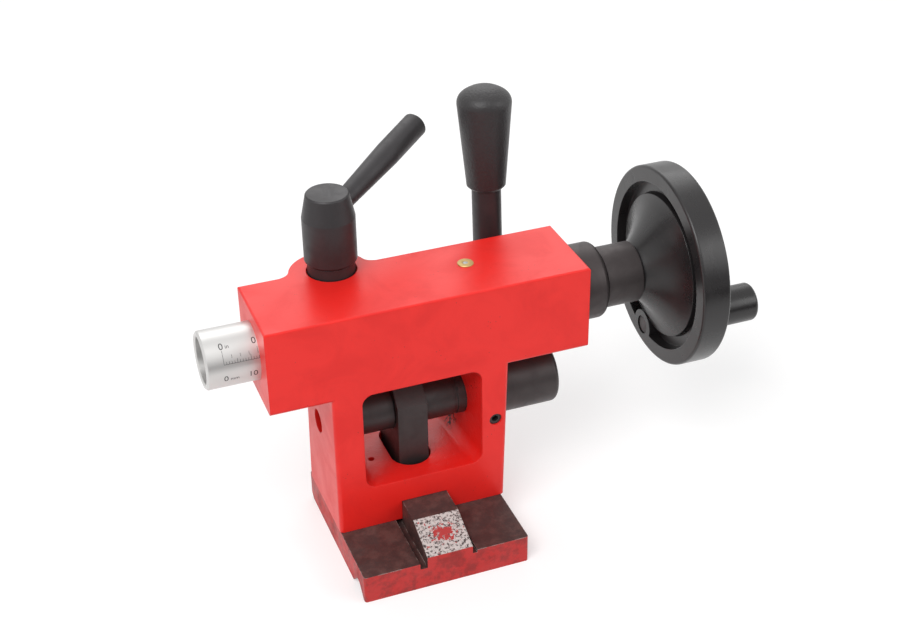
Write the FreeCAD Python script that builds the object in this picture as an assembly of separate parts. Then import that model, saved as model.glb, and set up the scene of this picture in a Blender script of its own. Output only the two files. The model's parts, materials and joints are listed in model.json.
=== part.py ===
"""Cam-lock tailstock of a bench lathe, as an assembly of separate pieces.

Millimetres, +Z up.  The origin lies on the plane that the base rests on, under the quill axis and at the
middle of the base's length.  +X runs along the quill axis from the nose to the handwheel, +Y to the back.
"""
import FreeCAD, Part
import math
import os

V = FreeCAD.Vector
X_AXIS = V(1, 0, 0)
Y_AXIS = V(0, 1, 0)
Z_AXIS = V(0, 0, 1)

# ---------------------------------------------------------------- fits and gaps
running_fit = 0.03        # radial, shafts that turn or slide in a bore
seat_fit = 0.01           # radial, pieces of one body that stay put
slide_gap = 0.02          # flat faces that slide on each other
key_side_gap = 0.04       # each side of a key in its way
free_gap = 0.3            # neighbours on different bodies that don't bear on each other
thrust_gap = 0.03         # end play at each thrust face of the leadscrew
stud_gap = 0.15           # radial, the lock stud in its upper cotter
handle_gap = 0.08         # radial, the crank handle on its spindle
seat_relief = 0.5         # extra radius where a rod enters a bigger round piece
socket_end_gap = 0.4      # room past the end of a spigot in its socket
cut_over = 1.0            # how far a cutting tool runs past the face that it opens
level = 0.01              # edges nearer than this to a plane lie on it

# ---------------------------------------------------------------- castings
centre_height = 90.0
base_length = 66.0
base_front = -47.0
base_back = 23.5
base_thickness = 11.7
base_corner = 1.0
rear_chamfer = 3.0

beam_left = -56.4
beam_length = 125.4
beam_front = -18.9
beam_back = 18.2
beam_below_axis = 17.6
beam_above_axis = 16.8
beam_corner = 1.5
beam_edge = 0.8

pillar_left = -33.2
pillar_right_low = 34.5
pillar_right_high = 36.4
pillar_back_low = 21.9
pillar_corner = 1.6

window_left = -22.0
window_right = 25.4
window_floor = 30.0
window_corner = 4.5
window_draft = 3.0        # how much nearer each side wall stands at the back than at the front

# ---------------------------------------------------------------- key, slots and bolts of the base
key_centre = 1.1
key_width = 18.2
key_rise = 8.5            # key's top above the plate
key_nose_rise = 2.2       # key's front edge above the plate
key_slope_start = -31.5
left_relief_width = 2.9
left_relief_depth = 2.5
right_relief_width = 1.8
right_relief_depth = 1.1
vee_front = -45.2
vee_back = -32.6
vee_flat = 2.8
setover_travel = 2.5
base_bolt_places = (-16.0, 18.0)
bolt_radius = 3.0
bolt_head_radius = 5.0
bolt_head_height = 6.0
bolt_web = 4.5            # metal left over the counterbore of a base bolt
bolt_reach = 11.5         # thread engaged in the body casting
bolt_socket_flats = 5.0
bolt_socket_depth = 3.0
bolt_slot_gap = 0.4

# ---------------------------------------------------------------- quill and leadscrew
quill_radius = 11.0
quill_length = 122.0
quill_rest_reach = 19.7   # nose beyond the beam's face at rest
quill_retract = 15.0
quill_travel = 45.0       # outward from rest
quill_nose_chamfer = 0.7
taper_mouth_radius = 8.89
taper_per_mm = 0.0249755
taper_depth = 64.0
taper_mouth_chamfer = 0.5
screw_radius = 6.0
nut_length = 20.0
quill_cavity_radius = 6.8
keyway_width = 4.2
keyway_depth = 1.4
keyway_end_gap = 0.3      # left at each end of the keyway when the quill is at its limit
key_screw_x = -44.4
key_screw_radius = 3.0
key_screw_sunk = 0.5
key_screw_flats = 3.0
key_screw_socket = 2.5

screw_tip_x = -9.1
screw_tip_chamfer = 1.0
screw_relief_length = 2.0
shoulder_radius = 8.0
shoulder_length = 4.0
journal_radius = 5.0
wheel_seat_radius = 4.5
stud_end_radius = 4.0
wheel_seat_short = 1.0    # how far the wheel's seat ends inside its hub
stud_beyond_nut = 1.0
washer_thickness = 1.2

# ---------------------------------------------------------------- bearing flange and drive collar
spigot_radius = 12.5
spigot_length = 4.0
flange_radius = 15.0
flange_length = 11.0
flange_rounding = 2.3
flange_recess_radius = 9.0
flange_recess_depth = 6.0
collar_radius = 12.0
collar_length = 15.2
collar_chamfer = 0.4
outer_washer_radius = 9.5
outer_washer_thickness = 0.5

# ---------------------------------------------------------------- handwheel and its handle
wheel_radius = 40.0
rim_width = 11.4
rim_thickness = 6.3
rim_edge = 1.0
rim_offset = 10.4         # rim's near face beyond the collar's end
groove_width = 5.1        # between the rim and the cone's edge
cone_rise = 11.8          # cone's edge beyond the collar's end
cone_root_radius = 10.4
cone_hollow = 1.6         # how far the cone curves in from a straight side
groove_depth = 2.6        # groove floor beyond the cone's edge
groove_draft = 0.5
web_thickness = 3.6
rim_thinning = 1.2        # rim's wall is this much thinner at its far side
wheel_hub_length = 13.0
wheel_hub_radius = 14.0
drive_key_width = 3.0
drive_key_length = 18.0
drive_key_start = 2.0     # from the collar's near face
wheel_washer_radius = 8.0
wheel_nut_flats = 13.0
wheel_nut_height = 6.5
wheel_nut_collar = 0.6    # round collar between the hexagon and the dome
wheel_nut_dome = 3.9

handle_inset = 7.5        # handle's axis inside the wheel's surface
handle_angle = -76.5      # about the quill axis, from +Y towards +Z
handle_radius = 8.0
handle_length = 38.2
handle_rounding = 1.6
handle_recess_radius = 6.0
handle_recess_depth = 5.0
handle_foot_chamfer = 0.5
boss_radius = 6.4
back_boss_radius = 7.2
boss_rim_inset = 0.4      # bosses stay this far inside the rim's surface
boss_recess_radius = 3.8
boss_recess_depth = 2.2
spindle_radius = 3.0
spindle_head_radius = 5.4
spindle_head_height = 3.4
spindle_slot_width = 1.2
spindle_slot_depth = 1.0
spindle_tip_sunk = 0.4
spindle_nut_radius = 3.6
spindle_nut_height = 1.7

# ---------------------------------------------------------------- quill lock
lock_x = -20.5
lock_behind_quill = 6.3   # the lock's axis behind the quill's surface
lock_bore_depth = 32.2
lock_boss_radius = 15.3
lock_boss_shift = 1.3     # the boss's centre to the left of the lock's axis, and before it
lock_boss_blend = 4.0
cotter_radius = 9.5
cotter_fit = 0.05         # radial, the cotters in their bore
cotter_split = 2.4        # each cotter stops this far from the quill axis plane
cotter_neck_radius = 9.0
cotter_neck_sunk = 3.2    # where the upper cotter's neck starts, below the beam's top
cotter_hub_gap = 0.3
cotter_floor_gap = 0.8    # more than the lower cotter drops when the lock is slack
lock_stud_radius = 4.0
lock_stud_end_gap = 2.0
hub_gap = 4.4             # hub's foot above the beam
hub_height = 27.5
hub_foot_height = 0.8
hub_foot_radius = 9.3
hub_radius = 10.0
hub_top_edge = 0.5
hub_cone_height = 9.5
hub_top_radius = 8.15
hub_bore_depth = 13.8
arm_azimuth = 38.2
arm_elevation = 12.0
arm_below_top = 9.8       # where the arm's axis meets the hub's axis
arm_seat_inset = 1.1      # the arm's shoulder inside the hub's surface
arm_root_radius = 3.75
arm_radius = 5.0
arm_joint = 41.0
arm_end = 62.0
arm_rounding = 0.8
arm_spigot_radius = 2.6
arm_spigot_start = 4.0
arm_socket_depth = 10.0

# ---------------------------------------------------------------- oiler
oiler_x = 27.2
oiler_y = 2.3
oiler_flange_radius = 3.1
oiler_flange_height = 0.5
oiler_flange_chamfer = 0.2
oiler_body_radius = 2.4
oiler_body_depth = 4.2
oiler_bore_radius = 1.75
oiler_ball_radius = 1.55
oiler_ball_sunk = 1.3     # the ball's centre below the oiler's top
oiler_seat_angle = 52.0   # latitude at which the mouth's edge holds the ball
oiler_floor_thickness = 0.6
oiler_spring_wire = 0.2
oiler_spring_radius = 1.0
oiler_spring_turns = 3
oiler_duct_radius = 1.0

# ---------------------------------------------------------------- cam lock
cam_y = 3.5
cam_z = 50.0
cam_radius = 9.0
cam_journal_radius = 4.75
cam_journal_length = 8.0
cam_shoulder_inset = 2.2  # the shaft's shoulder inside the window's front left edge
cam_head_radius = 12.5
cam_head_length = 25.8
cam_head_rounding = 2.0
cam_head_chamfer = 0.8
cam_groove_inset = 6.0    # the ring groove's start, left of the window's right edge
cam_groove_width = 1.6
cam_groove_depth = 0.5
retainer_drop = 1.6       # retaining screw's axis below the shaft's
retainer_groove_width = 4.6
retainer_groove_depth = 2.0
retainer_radius = 2.5
retainer_sunk = 0.8
retainer_dog_radius = 1.9
retainer_dog_length = 2.2
retainer_flats = 2.5
retainer_socket = 2.5
waist_radius = 7.7
throw = 1.1
throw_angle = 35.0        # eccentric above the level of the shaft axis, towards the back, at rest
link_thickness = 12.0
link_half_width = 11.5
link_rise = 12.0          # link's top above the shaft's axis
link_corner = 7.0         # chamfer at each top corner
link_bottom = 3.0
link_shank_half_width = 9.0
link_shank_sunk = 6.0     # where the link narrows, below the window's floor
link_eye_radius = 9.2
link_thread_radius = 4.25
link_thread_depth = 18.0
link_waist_gap = 0.4
link_slot_width = 16.0
base_slot_width = 14.0
floor_hole_x = -14.4
floor_hole_y = -1.4
floor_hole_radius = 1.25
floor_hole_depth = 8.0

lever_inset = 11.6        # lever's axis from the head's inner face
lever_radius = 5.8
lever_spigot_radius = 4.5
lever_rise = 20.0         # the lever's root above level, towards the back
lever_lean = 3.1          # its upper leg, back from upright
lever_reach = 29.8        # the upper leg's axis behind the shaft's, at lever_level
lever_level = 60.0        # above the shaft's axis
lever_bend_radius = 20.0
lever_seat = 11.2
lever_spigot_start = 3.0
lever_socket_depth = 6.0
lever_end = 6.8           # the rod's end below the grip's widest ring

grip_start = 70.2         # grip's foot above the shaft's axis
grip_length = 34.6        # up to its widest ring
grip_dome = 6.9
grip_bottom_radius = 7.7
grip_radius = 10.6
grip_edge = 1.2

# ---------------------------------------------------------------- values that follow
beam_bottom = centre_height - beam_below_axis
beam_top = centre_height + beam_above_axis
beam_right = beam_left + beam_length
key_top = base_thickness + key_rise
quill_nose_x = beam_left - quill_rest_reach
flange_x = beam_right
flange_end_x = flange_x + flange_length
flange_recess_x = flange_x - spigot_length + flange_recess_depth
collar_x = flange_end_x + outer_washer_thickness + thrust_gap
collar_end_x = collar_x + collar_length
rim_x = collar_end_x + rim_offset
rim_end_x = rim_x + rim_width
wheel_hub_end_x = collar_end_x + wheel_hub_length
rim_inner_radius = wheel_radius - rim_thickness
cone_radius = rim_inner_radius - groove_width
handle_offset = wheel_radius - handle_inset
lock_y = quill_radius + lock_behind_quill
lock_boss_x = lock_x - lock_boss_shift
lock_boss_y = lock_y - lock_boss_shift
lock_bore_radius = cotter_radius + cotter_fit
lock_bore_floor = beam_top - lock_bore_depth
lower_cotter_bottom = lock_bore_floor + cotter_floor_gap
hub_bottom = beam_top + hub_gap
hub_top = hub_bottom + hub_height
hub_cone_start = hub_top - hub_cone_height
hub_bore_top = hub_bottom + hub_bore_depth
cotter_top = hub_bottom - cotter_hub_gap
cotter_neck_start = beam_top - cotter_neck_sunk
lock_stud_top = hub_bore_top - lock_stud_end_gap
arm_height = hub_top - arm_below_top
arm_seat = hub_radius - arm_seat_inset
throw_y = throw * math.cos(math.radians(throw_angle))
throw_z = throw * math.sin(math.radians(throw_angle))
window_back_y = pillar_back_low + cut_over
cam_head_x = pillar_right_high + free_gap
cam_shoulder_x = window_left + cam_shoulder_inset
cam_groove_x = window_right - cam_groove_inset
retainer_x = (window_right + pillar_right_high) / 2
retainer_z = cam_z - retainer_drop
link_top = cam_z + link_rise
link_shoulder = link_top - link_corner
link_shank_top = window_floor - link_shank_sunk
link_slot_lost = link_slot_width - math.sqrt(link_slot_width ** 2 - link_thickness ** 2)
link_slot_length = 2 * (link_half_width + free_gap) + link_slot_lost
lever_x = cam_head_x + lever_inset
lever_upper_y = cam_y + lever_reach
lever_upper_z = cam_z + lever_level
grip_bottom = cam_z + grip_start
grip_widest = grip_bottom + grip_length
grip_top = grip_widest + grip_dome
lever_top = grip_widest - lever_end
base_slot_lost = base_slot_width - math.sqrt(base_slot_width ** 2 - link_thickness ** 2)
base_slot_length = 2 * (link_shank_half_width + setover_travel + free_gap) + base_slot_lost


# ================================================================ helpers
def box(x0, x1, y0, y1, z0, z1):
    return Part.makeBox(x1 - x0, y1 - y0, z1 - z0, V(x0, y0, z0))


def rod_x(radius, x0, x1, y=0.0, z=centre_height):
    return Part.makeCylinder(radius, x1 - x0, V(x0, y, z), X_AXIS)


def rod_y(radius, x, z, y0, y1):
    return Part.makeCylinder(radius, y1 - y0, V(x, y0, z), Y_AXIS)


def rod_z(radius, x, y, z0, z1):
    return Part.makeCylinder(radius, z1 - z0, V(x, y, z0), Z_AXIS)


def turned(profile, origin, axis, radial):
    """Solid of revolution from (along the axis, radius) points."""
    points = [origin + axis * a + radial * r for a, r in profile]
    wire = Part.makePolygon(points + [points[0]])
    return Part.Face(wire).revolve(origin, axis, 360)


def turned_x(profile, y=0.0, z=centre_height):
    return turned(profile, V(0, y, z), X_AXIS, Z_AXIS)


def turned_z(profile, x, y):
    return turned(profile, V(x, y, 0), Z_AXIS, X_AXIS)


def washer_x(radius, bore, x0, x1, y=0.0, z=centre_height):
    ring = rod_x(radius, x0, x1, y, z)
    return one_solid(ring.cut(rod_x(bore, x0 - cut_over, x1 + cut_over, y, z)))


def rounded_rectangle(corner, along, across, length, width, radius):
    """Closed wire of a rectangle with four equal round corners."""
    def at(a, b):
        return corner + along * a + across * b
    half = radius * (1 - math.sqrt(0.5))
    spots = []
    for a, b, sa, sb in ((0, 0, 1, 1), (length, 0, -1, 1), (length, width, -1, -1), (0, width, 1, -1)):
        first = at(a, b + sb * radius)
        last = at(a + sa * radius, b)
        if sa * sb < 0:
            first, last = last, first
        spots.append((first, at(a + sa * half, b + sb * half), last))
    edges = []
    for number, (first, middle, last) in enumerate(spots):
        following = spots[(number + 1) % 4][0]
        edges.append(Part.Arc(first, middle, last).toShape())
        edges.append(Part.LineSegment(last, following).toShape())
    return Part.Wire(edges)


def slot_z(x, y, width, length, z0, z1):
    """Upright slot with round ends, long in Y."""
    radius = width / 2
    reach = (length - width) / 2
    body = box(x - radius, x + radius, y - reach, y + reach, z0, z1)
    for end in (-reach, reach):
        body = body.fuse(rod_z(radius, x, y + end, z0, z1))
    return body.removeSplitter()


def hex_prism(flats, origin, axis, radial, length):
    """Hexagonal prism, flats across, from origin along axis."""
    radius = flats / math.sqrt(3)
    side = axis.cross(radial)
    points = []
    for k in range(7):
        angle = math.radians(60 * k)
        points.append(origin + radial * (radius * math.cos(angle)) + side * (radius * math.sin(angle)))
    return Part.Face(Part.makePolygon(points)).extrude(axis * length)


def edges_where(shape, test):
    return [edge for edge in shape.Edges if test(edge)]


def circle_at(edge, radius, x=None):
    """True for a full or part circle of this radius, at this x where one is given."""
    curve = edge.Curve
    if not isinstance(curve, Part.Circle) or abs(curve.Radius - radius) > level:
        return False
    return x is None or abs(curve.Center.x - x) < level


def cut_all(shape, tools):
    for tool in tools:
        shape = shape.cut(tool)
    return shape


def one_solid(shape):
    """The single solid of a shape, cleaned of split faces."""
    cleaned = shape.removeSplitter()
    if len(cleaned.Solids) != 1:
        raise RuntimeError("expected one solid, found %d" % len(cleaned.Solids))
    return cleaned.Solids[0]


# ================================================================ body casting
def beam():
    block = box(beam_left, beam_right, beam_front, beam_back, beam_bottom, beam_top)
    low = edges_where(block, lambda e: e.BoundBox.ZMax < beam_bottom + level
                      and e.BoundBox.XLength > level)
    block = block.makeFillet(beam_corner, low)
    sharp = edges_where(block, lambda e: e.BoundBox.ZMin > beam_top - level)
    return block.makeFillet(beam_edge, sharp)


def pillar():
    low = rounded_rectangle(V(pillar_left, beam_front, base_thickness), X_AXIS, Y_AXIS,
                            pillar_right_low - pillar_left, pillar_back_low - beam_front, pillar_corner)
    high = rounded_rectangle(V(pillar_left, beam_front, beam_bottom + 2 * beam_corner), X_AXIS, Y_AXIS,
                             pillar_right_high - pillar_left, beam_back - beam_front, pillar_corner)
    return Part.makeLoft([low, high], True, True)


def window_tool():
    height = beam_bottom - window_floor
    front = rounded_rectangle(V(window_left, beam_front - cut_over, window_floor), X_AXIS, Z_AXIS,
                              window_right - window_left, height, window_corner)
    back = rounded_rectangle(V(window_left + window_draft, window_back_y, window_floor), X_AXIS, Z_AXIS,
                             window_right - window_left - 2 * window_draft, height, window_corner)
    return Part.makeLoft([front, back], True, True)


def lock_boss():
    return rod_z(lock_boss_radius, lock_boss_x, lock_boss_y, beam_bottom, beam_top)


def body_casting():
    body = beam().fuse(pillar()).fuse(lock_boss()).removeSplitter()
    corners = edges_where(body, boss_corner)
    body = body.makeFillet(lock_boss_blend, corners)
    bore_end = beam_right - spigot_length
    cuts = [
        window_tool(),
        rod_x(quill_radius + running_fit, beam_left - cut_over, bore_end),
        rod_x(spigot_radius + seat_fit, bore_end, beam_right + cut_over),
        rod_z(lock_bore_radius, lock_x, lock_y, lock_bore_floor, beam_top + cut_over),
        rod_x(cam_radius + running_fit, window_right - window_draft - cut_over,
              pillar_right_high + cut_over, cam_y, cam_z),
        rod_x(cam_journal_radius + running_fit, pillar_left - cut_over,
              window_left + window_draft + cut_over, cam_y, cam_z),
        rod_x(cam_radius + free_gap, cam_shoulder_x - free_gap,
              window_left + window_draft + cut_over, cam_y, cam_z),
        rod_y(retainer_radius + seat_fit, retainer_x, retainer_z, beam_front - cut_over, cam_y),
        slot_z(key_centre, cam_y, link_slot_width, link_slot_length, base_thickness, window_floor + cut_over),
        box(key_centre - key_width / 2 - key_side_gap, key_centre + key_width / 2 + key_side_gap,
            beam_front - cut_over, pillar_back_low + cut_over,
            base_thickness - cut_over, key_top + slide_gap + key_side_gap),
        box(pillar_left - cut_over, pillar_right_high + cut_over, beam_front - cut_over,
            pillar_back_low + cut_over, base_thickness - cut_over, base_thickness + slide_gap),
        rod_z(floor_hole_radius, floor_hole_x, floor_hole_y, window_floor - floor_hole_depth,
              window_floor + cut_over),
        rod_z(key_screw_radius + seat_fit, key_screw_x, 0, beam_bottom - cut_over, centre_height),
        rod_z(oiler_body_radius + seat_fit, oiler_x, oiler_y, beam_top - oiler_body_depth,
              beam_top + cut_over),
        rod_z(oiler_duct_radius, oiler_x, oiler_y, centre_height, beam_top),
    ]
    for place in base_bolt_places:
        cuts.append(rod_z(bolt_radius + seat_fit, place, cam_y, base_thickness - cut_over,
                          base_thickness + bolt_reach + cut_over))
    return one_solid(cut_all(body, cuts))


def boss_corner(edge):
    """The two upright edges where the lock boss meets the back of the beam."""
    bound = edge.BoundBox
    upright = bound.XLength < level and bound.YLength < level
    on_back = abs(bound.YMin - beam_back) < level
    half_chord = math.sqrt(lock_boss_radius ** 2 - (beam_back - lock_boss_y) ** 2)
    return upright and on_back and abs(abs(bound.XMin - lock_boss_x) - half_chord) < level


# ================================================================ base casting
def base_key():
    left = key_centre - key_width / 2
    outline = [
        (base_front, base_thickness / 2),
        (base_front, base_thickness + key_nose_rise),
        (key_slope_start, key_top),
        (base_back, key_top),
        (base_back, base_thickness / 2),
    ]
    points = [V(left, y, z) for y, z in outline]
    return Part.Face(Part.makePolygon(points + [points[0]])).extrude(X_AXIS * key_width)


def vee_tool():
    depth = (vee_back - vee_front - vee_flat) / 2
    middle = (vee_front + vee_back) / 2
    spread = (vee_back - vee_front) / 2 + cut_over
    outline = [(middle - spread, -cut_over), (middle - vee_flat / 2, depth),
               (middle + vee_flat / 2, depth), (middle + spread, -cut_over)]
    points = [V(-base_length / 2 - cut_over, y, z) for y, z in outline]
    return Part.Face(Part.makePolygon(points + [points[0]])).extrude(X_AXIS * (base_length + 2 * cut_over))


def base_casting():
    half = base_length / 2
    plate = box(-half, half, base_front, base_back, 0, base_thickness)
    rear = edges_where(plate, lambda e: e.BoundBox.ZMax < level and e.BoundBox.YMin > base_back - level)
    plate = plate.makeChamfer(rear_chamfer, rear)
    upright = edges_where(plate, lambda e: e.BoundBox.ZLength > rear_chamfer + level
                          and e.BoundBox.XLength < level)
    plate = plate.makeFillet(base_corner, upright)
    plate = plate.fuse(base_key())
    left = key_centre - key_width / 2
    right = key_centre + key_width / 2
    over = base_front - cut_over
    far = base_back + cut_over
    cuts = [
        vee_tool(),
        box(left - left_relief_width, left, over, far, base_thickness - left_relief_depth, key_top),
        box(right, right + right_relief_width, over, far, base_thickness - right_relief_depth, key_top),
        slot_z(key_centre, cam_y, base_slot_width, base_slot_length, -cut_over, key_top + cut_over),
    ]
    play = 2 * (setover_travel + bolt_slot_gap)
    for place in base_bolt_places:
        shank = 2 * bolt_radius + 2 * bolt_slot_gap
        head = 2 * bolt_head_radius + 2 * bolt_slot_gap
        cuts.append(slot_z(place, cam_y, shank, shank + play, -cut_over, base_thickness + cut_over))
        cuts.append(slot_z(place, cam_y, head, head + play, -cut_over, base_thickness - bolt_web))
    return one_solid(cut_all(plate, cuts))


def base_bolt(place):
    """Socket-head screw from under the base into the body casting."""
    head_top = base_thickness - bolt_web - slide_gap
    head_bottom = head_top - bolt_head_height
    bolt = rod_z(bolt_head_radius, place, cam_y, head_bottom, head_top)
    bolt = bolt.fuse(rod_z(bolt_radius, place, cam_y, head_bottom, base_thickness + bolt_reach))
    foot = V(place, cam_y, head_bottom)
    socket = hex_prism(bolt_socket_flats, foot, Z_AXIS, X_AXIS, bolt_socket_depth)
    return one_solid(bolt.cut(socket))


# ================================================================ quill and its screw
def quill_profile():
    length = quill_length
    taper_end_radius = taper_mouth_radius - taper_depth * taper_per_mm
    return [
        (quill_nose_x, taper_mouth_radius + taper_mouth_chamfer),
        (quill_nose_x, quill_radius - quill_nose_chamfer),
        (quill_nose_x + quill_nose_chamfer, quill_radius),
        (quill_nose_x + length - quill_nose_chamfer, quill_radius),
        (quill_nose_x + length, quill_radius - quill_nose_chamfer),
        (quill_nose_x + length, screw_radius),
        (quill_nose_x + length - nut_length, screw_radius),
        (quill_nose_x + length - nut_length, quill_cavity_radius),
        (quill_nose_x + taper_depth, quill_cavity_radius),
        (quill_nose_x + taper_depth, taper_end_radius),
        (quill_nose_x + taper_mouth_chamfer, taper_mouth_radius),
    ]


def quill():
    body = turned_x(quill_profile())
    reach = centre_height - quill_radius + keyway_depth
    middle_start = key_screw_x - quill_retract - keyway_end_gap
    middle_end = key_screw_x + quill_travel + keyway_end_gap
    way = box(middle_start, middle_end, -keyway_width / 2, keyway_width / 2,
              reach - keyway_depth - cut_over, reach)
    for middle in (middle_start, middle_end):
        way = way.fuse(rod_z(keyway_width / 2, middle, 0, reach - keyway_depth - cut_over, reach))
    return one_solid(body.cut(way))


def quill_key_screw():
    """Dog-point screw that keeps the quill from turning."""
    bore_bottom = centre_height - quill_radius
    start = beam_bottom + key_screw_sunk
    dog_radius = keyway_width / 2 - key_side_gap
    screw = rod_z(key_screw_radius, key_screw_x, 0, start, bore_bottom - free_gap)
    dog = rod_z(dog_radius, key_screw_x, 0, start, bore_bottom + keyway_depth - free_gap)
    socket = hex_prism(key_screw_flats, V(key_screw_x, 0, start), Z_AXIS, X_AXIS, key_screw_socket)
    return one_solid(screw.fuse(dog).cut(socket))


def leadscrew():
    thread = screw_radius - running_fit
    shoulder_end = flange_recess_x - washer_thickness - thrust_gap
    shoulder_start = shoulder_end - shoulder_length
    relief_start = shoulder_start - screw_relief_length
    seat_end = wheel_hub_end_x - wheel_seat_short
    end = wheel_hub_end_x + washer_thickness + wheel_nut_height + stud_beyond_nut
    body = turned_x([
        (screw_tip_x, 0),
        (screw_tip_x, thread - screw_tip_chamfer),
        (screw_tip_x + screw_tip_chamfer, thread),
        (relief_start, thread),
        (relief_start, journal_radius),
        (shoulder_start, journal_radius),
        (shoulder_start, shoulder_radius),
        (shoulder_end, shoulder_radius),
        (shoulder_end, journal_radius),
        (collar_end_x, journal_radius),
        (collar_end_x, wheel_seat_radius),
        (seat_end, wheel_seat_radius),
        (seat_end, stud_end_radius),
        (end, stud_end_radius),
        (end, 0),
    ])
    return one_solid(body.cut(drive_key_block(seat_fit)))


def drive_key_block(grown):
    """Feather key that drives the collar and the wheel; grown cuts its way."""
    half = drive_key_width / 2 + grown
    start = collar_x + drive_key_start - grown
    end = collar_x + drive_key_start + drive_key_length + grown
    low = centre_height + wheel_seat_radius - drive_key_width / 2 - grown
    high = centre_height + wheel_seat_radius + drive_key_width / 2 + grown
    return box(start, end, -half, half, low, high)


def bearing_flange():
    start = flange_x - spigot_length
    bore = journal_radius + running_fit
    body = turned_x([
        (start, flange_recess_radius),
        (start, spigot_radius),
        (flange_x, spigot_radius),
        (flange_x, flange_radius),
        (flange_end_x, flange_radius),
        (flange_end_x, bore),
        (flange_recess_x, bore),
        (flange_recess_x, flange_recess_radius),
    ])
    rim = edges_where(body, lambda e: circle_at(e, flange_radius, flange_end_x))
    return one_solid(body.makeFillet(flange_rounding, rim))


def inner_thrust_washer():
    return washer_x(shoulder_radius, journal_radius + running_fit,
                    flange_recess_x - washer_thickness, flange_recess_x)


def outer_thrust_washer():
    return washer_x(outer_washer_radius, journal_radius + running_fit,
                    flange_end_x, flange_end_x + outer_washer_thickness)


def drive_collar():
    body = rod_x(collar_radius, collar_x, collar_end_x)
    rims = edges_where(body, lambda e: circle_at(e, collar_radius))
    body = body.makeChamfer(collar_chamfer, rims)
    body = body.cut(rod_x(journal_radius + seat_fit, collar_x - cut_over, collar_end_x + cut_over))
    return one_solid(body.cut(key_slot()))


def key_slot():
    """Keyway of the collar and the wheel, open at both ends."""
    half = drive_key_width / 2 + seat_fit
    high = centre_height + wheel_seat_radius + drive_key_width / 2 + 2 * seat_fit
    return box(collar_x - cut_over, wheel_hub_end_x + cut_over, -half, half, centre_height, high)


# ================================================================ handwheel
def handle_place():
    angle = math.radians(handle_angle)
    return handle_offset * math.cos(angle), centre_height + handle_offset * math.sin(angle)


def wheel_profile_edges():
    """Half section of the wheel: its cone and dish are arcs, the rest straight."""
    def at(x, r):
        return V(x, 0, centre_height + r)
    hub_start = collar_end_x
    cone_x = collar_end_x + cone_rise
    groove_x = cone_x + groove_depth
    back_x = groove_x + web_thickness
    inner_back = rim_inner_radius + rim_thinning
    dish_x = wheel_hub_end_x
    straight = [
        at(dish_x, wheel_seat_radius + seat_fit),
        at(hub_start, wheel_seat_radius + seat_fit),
        at(hub_start, cone_root_radius),
    ]
    edges = chain(straight)
    edges.append(hollow_arc(at(hub_start, cone_root_radius), at(cone_x, cone_radius), cone_hollow))
    edges += chain([
        at(cone_x, cone_radius),
        at(groove_x, cone_radius + groove_draft),
        at(groove_x, rim_inner_radius - groove_draft),
        at(rim_x, rim_inner_radius),
        at(rim_x, wheel_radius - rim_edge),
    ])
    edges.append(round_corner(at(rim_x, wheel_radius - rim_edge), at(rim_x, wheel_radius),
                              at(rim_x + rim_edge, wheel_radius)))
    edges += chain([at(rim_x + rim_edge, wheel_radius), at(rim_end_x - rim_edge, wheel_radius)])
    edges.append(round_corner(at(rim_end_x - rim_edge, wheel_radius), at(rim_end_x, wheel_radius),
                              at(rim_end_x, wheel_radius - rim_edge)))
    edges += chain([
        at(rim_end_x, wheel_radius - rim_edge),
        at(rim_end_x, inner_back),
        at(back_x, inner_back - groove_draft),
        at(back_x, cone_radius),
    ])
    edges.append(hollow_arc(at(back_x, cone_radius), at(dish_x, wheel_hub_radius), -cone_hollow))
    edges += chain([at(dish_x, wheel_hub_radius), straight[0]])
    return edges


def chain(points):
    return [Part.LineSegment(a, b).toShape() for a, b in zip(points, points[1:])]


def hollow_arc(start, end, sag):
    """Arc between two points of the XZ plane whose middle stands off the straight line by sag."""
    along = (end - start).normalize()
    middle = (start + end) * 0.5 + V(along.z, 0, -along.x) * sag
    return Part.Arc(start, middle, end).toShape()


def round_corner(start, corner, end):
    """Quarter arc from start to end that is tangent to the two edges meeting at corner."""
    centre = start + end - corner
    radius = (corner - start).Length
    outward = (corner - centre).normalize()
    return Part.Arc(start, centre + outward * radius, end).toShape()


def handwheel():
    section = Part.Face(Part.Wire(wheel_profile_edges()))
    body = section.revolve(V(0, 0, centre_height), X_AXIS, 360)
    y, z = handle_place()
    web_x = collar_end_x + cone_rise + groove_depth + web_thickness / 2
    front_boss = rod_x(boss_radius, rim_x, web_x, y, z)
    back_boss = rod_x(back_boss_radius, web_x, rim_end_x, y, z)
    rim_limit = rod_x(wheel_radius - boss_rim_inset, rim_x, rim_end_x)
    body = body.fuse(front_boss.fuse(back_boss).common(rim_limit))
    body = body.cut(rod_x(spindle_radius + seat_fit, rim_x - cut_over, rim_end_x + cut_over, y, z))
    body = body.cut(rod_x(boss_recess_radius, rim_x - cut_over, rim_x + boss_recess_depth, y, z))
    return one_solid(body.cut(key_slot()))


def handwheel_washer():
    return washer_x(wheel_washer_radius, stud_end_radius + seat_fit,
                    wheel_hub_end_x, wheel_hub_end_x + washer_thickness)


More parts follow.
